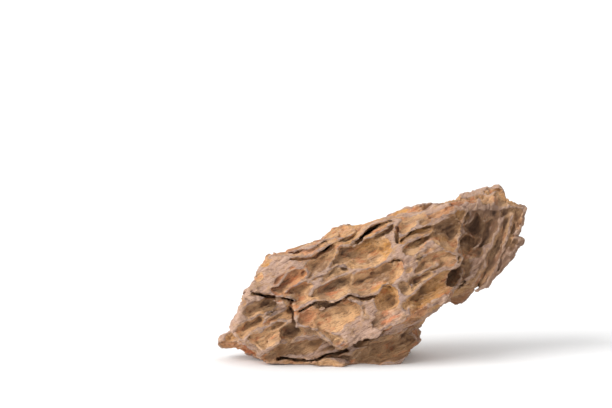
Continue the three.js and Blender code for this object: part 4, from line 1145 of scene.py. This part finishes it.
class StoneSettings(bpy.types.PropertyGroup):
    voxel: FloatProperty(
        name="Grain of the mesh", description="Spacing of the grid that the stone is carved on",
        default=1.0 * MM, min=0.5 * MM, unit="LENGTH",
    )
    triangles: IntProperty(
        name="Triangles", description="Most triangles in the finished stone", default=196000, min=1000,
    )
    flakes: FloatProperty(
        name="Flakes", description="Height of the flakes that overlap across the grain",
        default=1.6 * MM, unit="LENGTH",
    )
    lumps: FloatProperty(
        name="Lumps", description="Height of the lumps on the skin", default=2.4 * MM, unit="LENGTH",
    )
    pockmarks: FloatProperty(
        name="Pockmarks", description="Depth of the small pockmarks", default=1.2 * MM, unit="LENGTH",
    )
    flat_below: FloatProperty(
        name="Flat below", description="Height under which the relief fades out to the resting flat",
        default=2.0 * MM, unit="LENGTH",
    )
    crumb_size: IntProperty(
        name="Crumb size", description="Loose pieces with fewer points than this are dropped", default=20000,
    )
    plate: colour_property("Plates", "Old skin on the smooth plates", "#B1917F")
    crest: colour_property("Crests", "Old skin along the crests", "#84706A")
    pale: colour_property("Pale clay", "Pale streaks in the pits", "#D6AC80")
    tan: colour_property("Tan clay", "Stains of clay on the skin", "#B08A64")
    rust: colour_property("Rust", "Iron stains", "#B85E32")
    umber: colour_property("Umber", "Brown clay between the seams", "#6B4E3A")
    # Colour of the painted shade in nooks and creases.
    nook_shade_colour: colour_property("Dirt", "Dirt in nooks and cracks", "#40302A")
    # Colour of the painted highlight on convex edges, and of pale flecks on the skin.
    pale_fleck_and_highlight: colour_property("Worn edge", "Pale wear along the edges", "#C4A691")


# Where the key light comes from: above, from the left and from the front.
KEY_FROM = (-1.0, -0.6, 0.75)


class StageSettings(bpy.types.PropertyGroup):
    floor_size: FloatProperty(name="Floor size", description="Side of the floor", default=120, unit="LENGTH")
    floor_colour: colour_property("Floor", "Colour of the floor", "#E8E8E8")
    sky: FloatProperty(name="Sky", description="Strength of the even white light", default=0.95, min=0)
    key: FloatProperty(
        name="Key light", description="Strength of the light from the left", default=3.2, min=0,
    )
    softness: FloatProperty(
        name="Softness", description="Angle that the key light seems wide", default=math.radians(42),
        subtype="ANGLE",
    )


class DRAGONSTONE_OT_stone(bpy.types.Operator):
    """Carve the stone, weather it and colour it"""
    bl_idname = "dragonstone.stone"
    bl_label = "Carve stone"

    def execute(self, context):
        settings = context.scene.dragon_stone
        step = settings.voxel / MM
        field, skin, low, pits = carved_grid(step)
        vertices, quads = surface_of(field, low, step)
        mesh = mesh_from("carved stone", vertices, quads)
        set_values(mesh, "depth", np.maximum(-read_grid(skin, vertices, low, step), 0))
        solid = (field < 0).astype(np.float32)
        # These averages of the solid place the painted shade in nooks and in recesses.
        for name, reach in (("nook_shade", NOOK_SHADE_REACH), ("recess_shade", RECESS_SHADE_REACH)):
            set_values(mesh, name, read_grid(blurred(solid, round(reach / step)), vertices, low, step))
        set_values(mesh, "seam", seam_colours(vertices, pits))

        rough = link(mesh, "carved stone")
        material = weathered_clay_stone(settings)
        weathering = rough.modifiers.new("weathering", "NODES")
        weathering.node_group = weathering_tree(material)
        for name, value in (
            ("Flakes", settings.flakes), ("Lumps", settings.lumps), ("Pockmarks", settings.pockmarks),
            ("Flat below", settings.flat_below), ("Crumb size", settings.crumb_size),
        ):
            set_input(weathering, name, value)
        thinning = rough.modifiers.new("thinning", "DECIMATE")
        thinning.ratio = min(1.0, settings.triangles / (2 * len(quads)))
        stone = flattened(rough, "dragon_stone")
        set_bulge_and_pitting(stone.data)
        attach(stone, STONE_BODY)
        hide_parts(STONE_NODE)
        return {"FINISHED"}


class DRAGONSTONE_OT_stage(bpy.types.Operator):
    """Set the floor, the lights and the camera"""
    bl_idname = "dragonstone.stage"
    bl_label = "Set stage"

    def execute(self, context):
        settings = context.scene.dragon_stage
        scene = context.scene
        scene.view_settings.view_transform = "Standard"
        half = settings.floor_size / 2
        mesh = bpy.data.meshes.new("floor")
        corners = [(-half, -half, 0), (half, -half, 0), (half, half, 0), (-half, half, 0)]
        mesh.from_pydata(corners, [], [(0, 1, 2, 3)])
        mesh.materials.append(white_card(settings))
        link(mesh, "floor")

        world = bpy.data.worlds.new("even white light")
        world.use_nodes = True
        sky = world.node_tree.nodes["Background"]
        sky.inputs["Color"].default_value = (1, 1, 1, 1)
        sky.inputs["Strength"].default_value = settings.sky
        scene.world = world
        key = link(bpy.data.lights.new("key light", "SUN"), "key light")
        key.data.energy = settings.key
        key.data.angle = settings.softness
        key.rotation_euler = Vector(KEY_FROM).to_track_quat("Z", "Y").to_euler()

        camera = link(bpy.data.cameras.new("camera"), "camera")
        camera.data.lens = CAMERA_LENS
        camera.location = Vector(SIGHT_POINT * MM)
        camera.rotation_euler = (math.pi / 2 - SIGHT_DROP, 0, 0)
        scene.camera = camera
        return {"FINISHED"}


class DRAGONSTONE_PT_panel(bpy.types.Panel):
    bl_idname = "DRAGONSTONE_PT_panel"
    bl_label = "Dragon stone"
    bl_space_type = "VIEW_3D"
    bl_region_type = "UI"
    bl_category = "Dragon stone"

    def draw(self, context):
        for settings, operator in (
            (context.scene.dragon_stone, DRAGONSTONE_OT_stone),
            (context.scene.dragon_stage, DRAGONSTONE_OT_stage),
        ):
            box = self.layout.box()
            for name in settings.__annotations__:
                box.prop(settings, name)
            box.operator(operator.bl_idname)


CLASSES = (StoneSettings, StageSettings, DRAGONSTONE_OT_stone, DRAGONSTONE_OT_stage, DRAGONSTONE_PT_panel)


def register():
    for item in CLASSES:
        bpy.utils.register_class(item)
    bpy.types.Scene.dragon_stone = PointerProperty(type=StoneSettings)
    bpy.types.Scene.dragon_stage = PointerProperty(type=StageSettings)


def unregister():
    del bpy.types.Scene.dragon_stone
    del bpy.types.Scene.dragon_stage
    for item in reversed(CLASSES):
        bpy.utils.unregister_class(item)


def main():
    register()
    bpy.ops.dragonstone.stage()
    bpy.ops.dragonstone.stone()


if __name__ == "__main__":
    main()
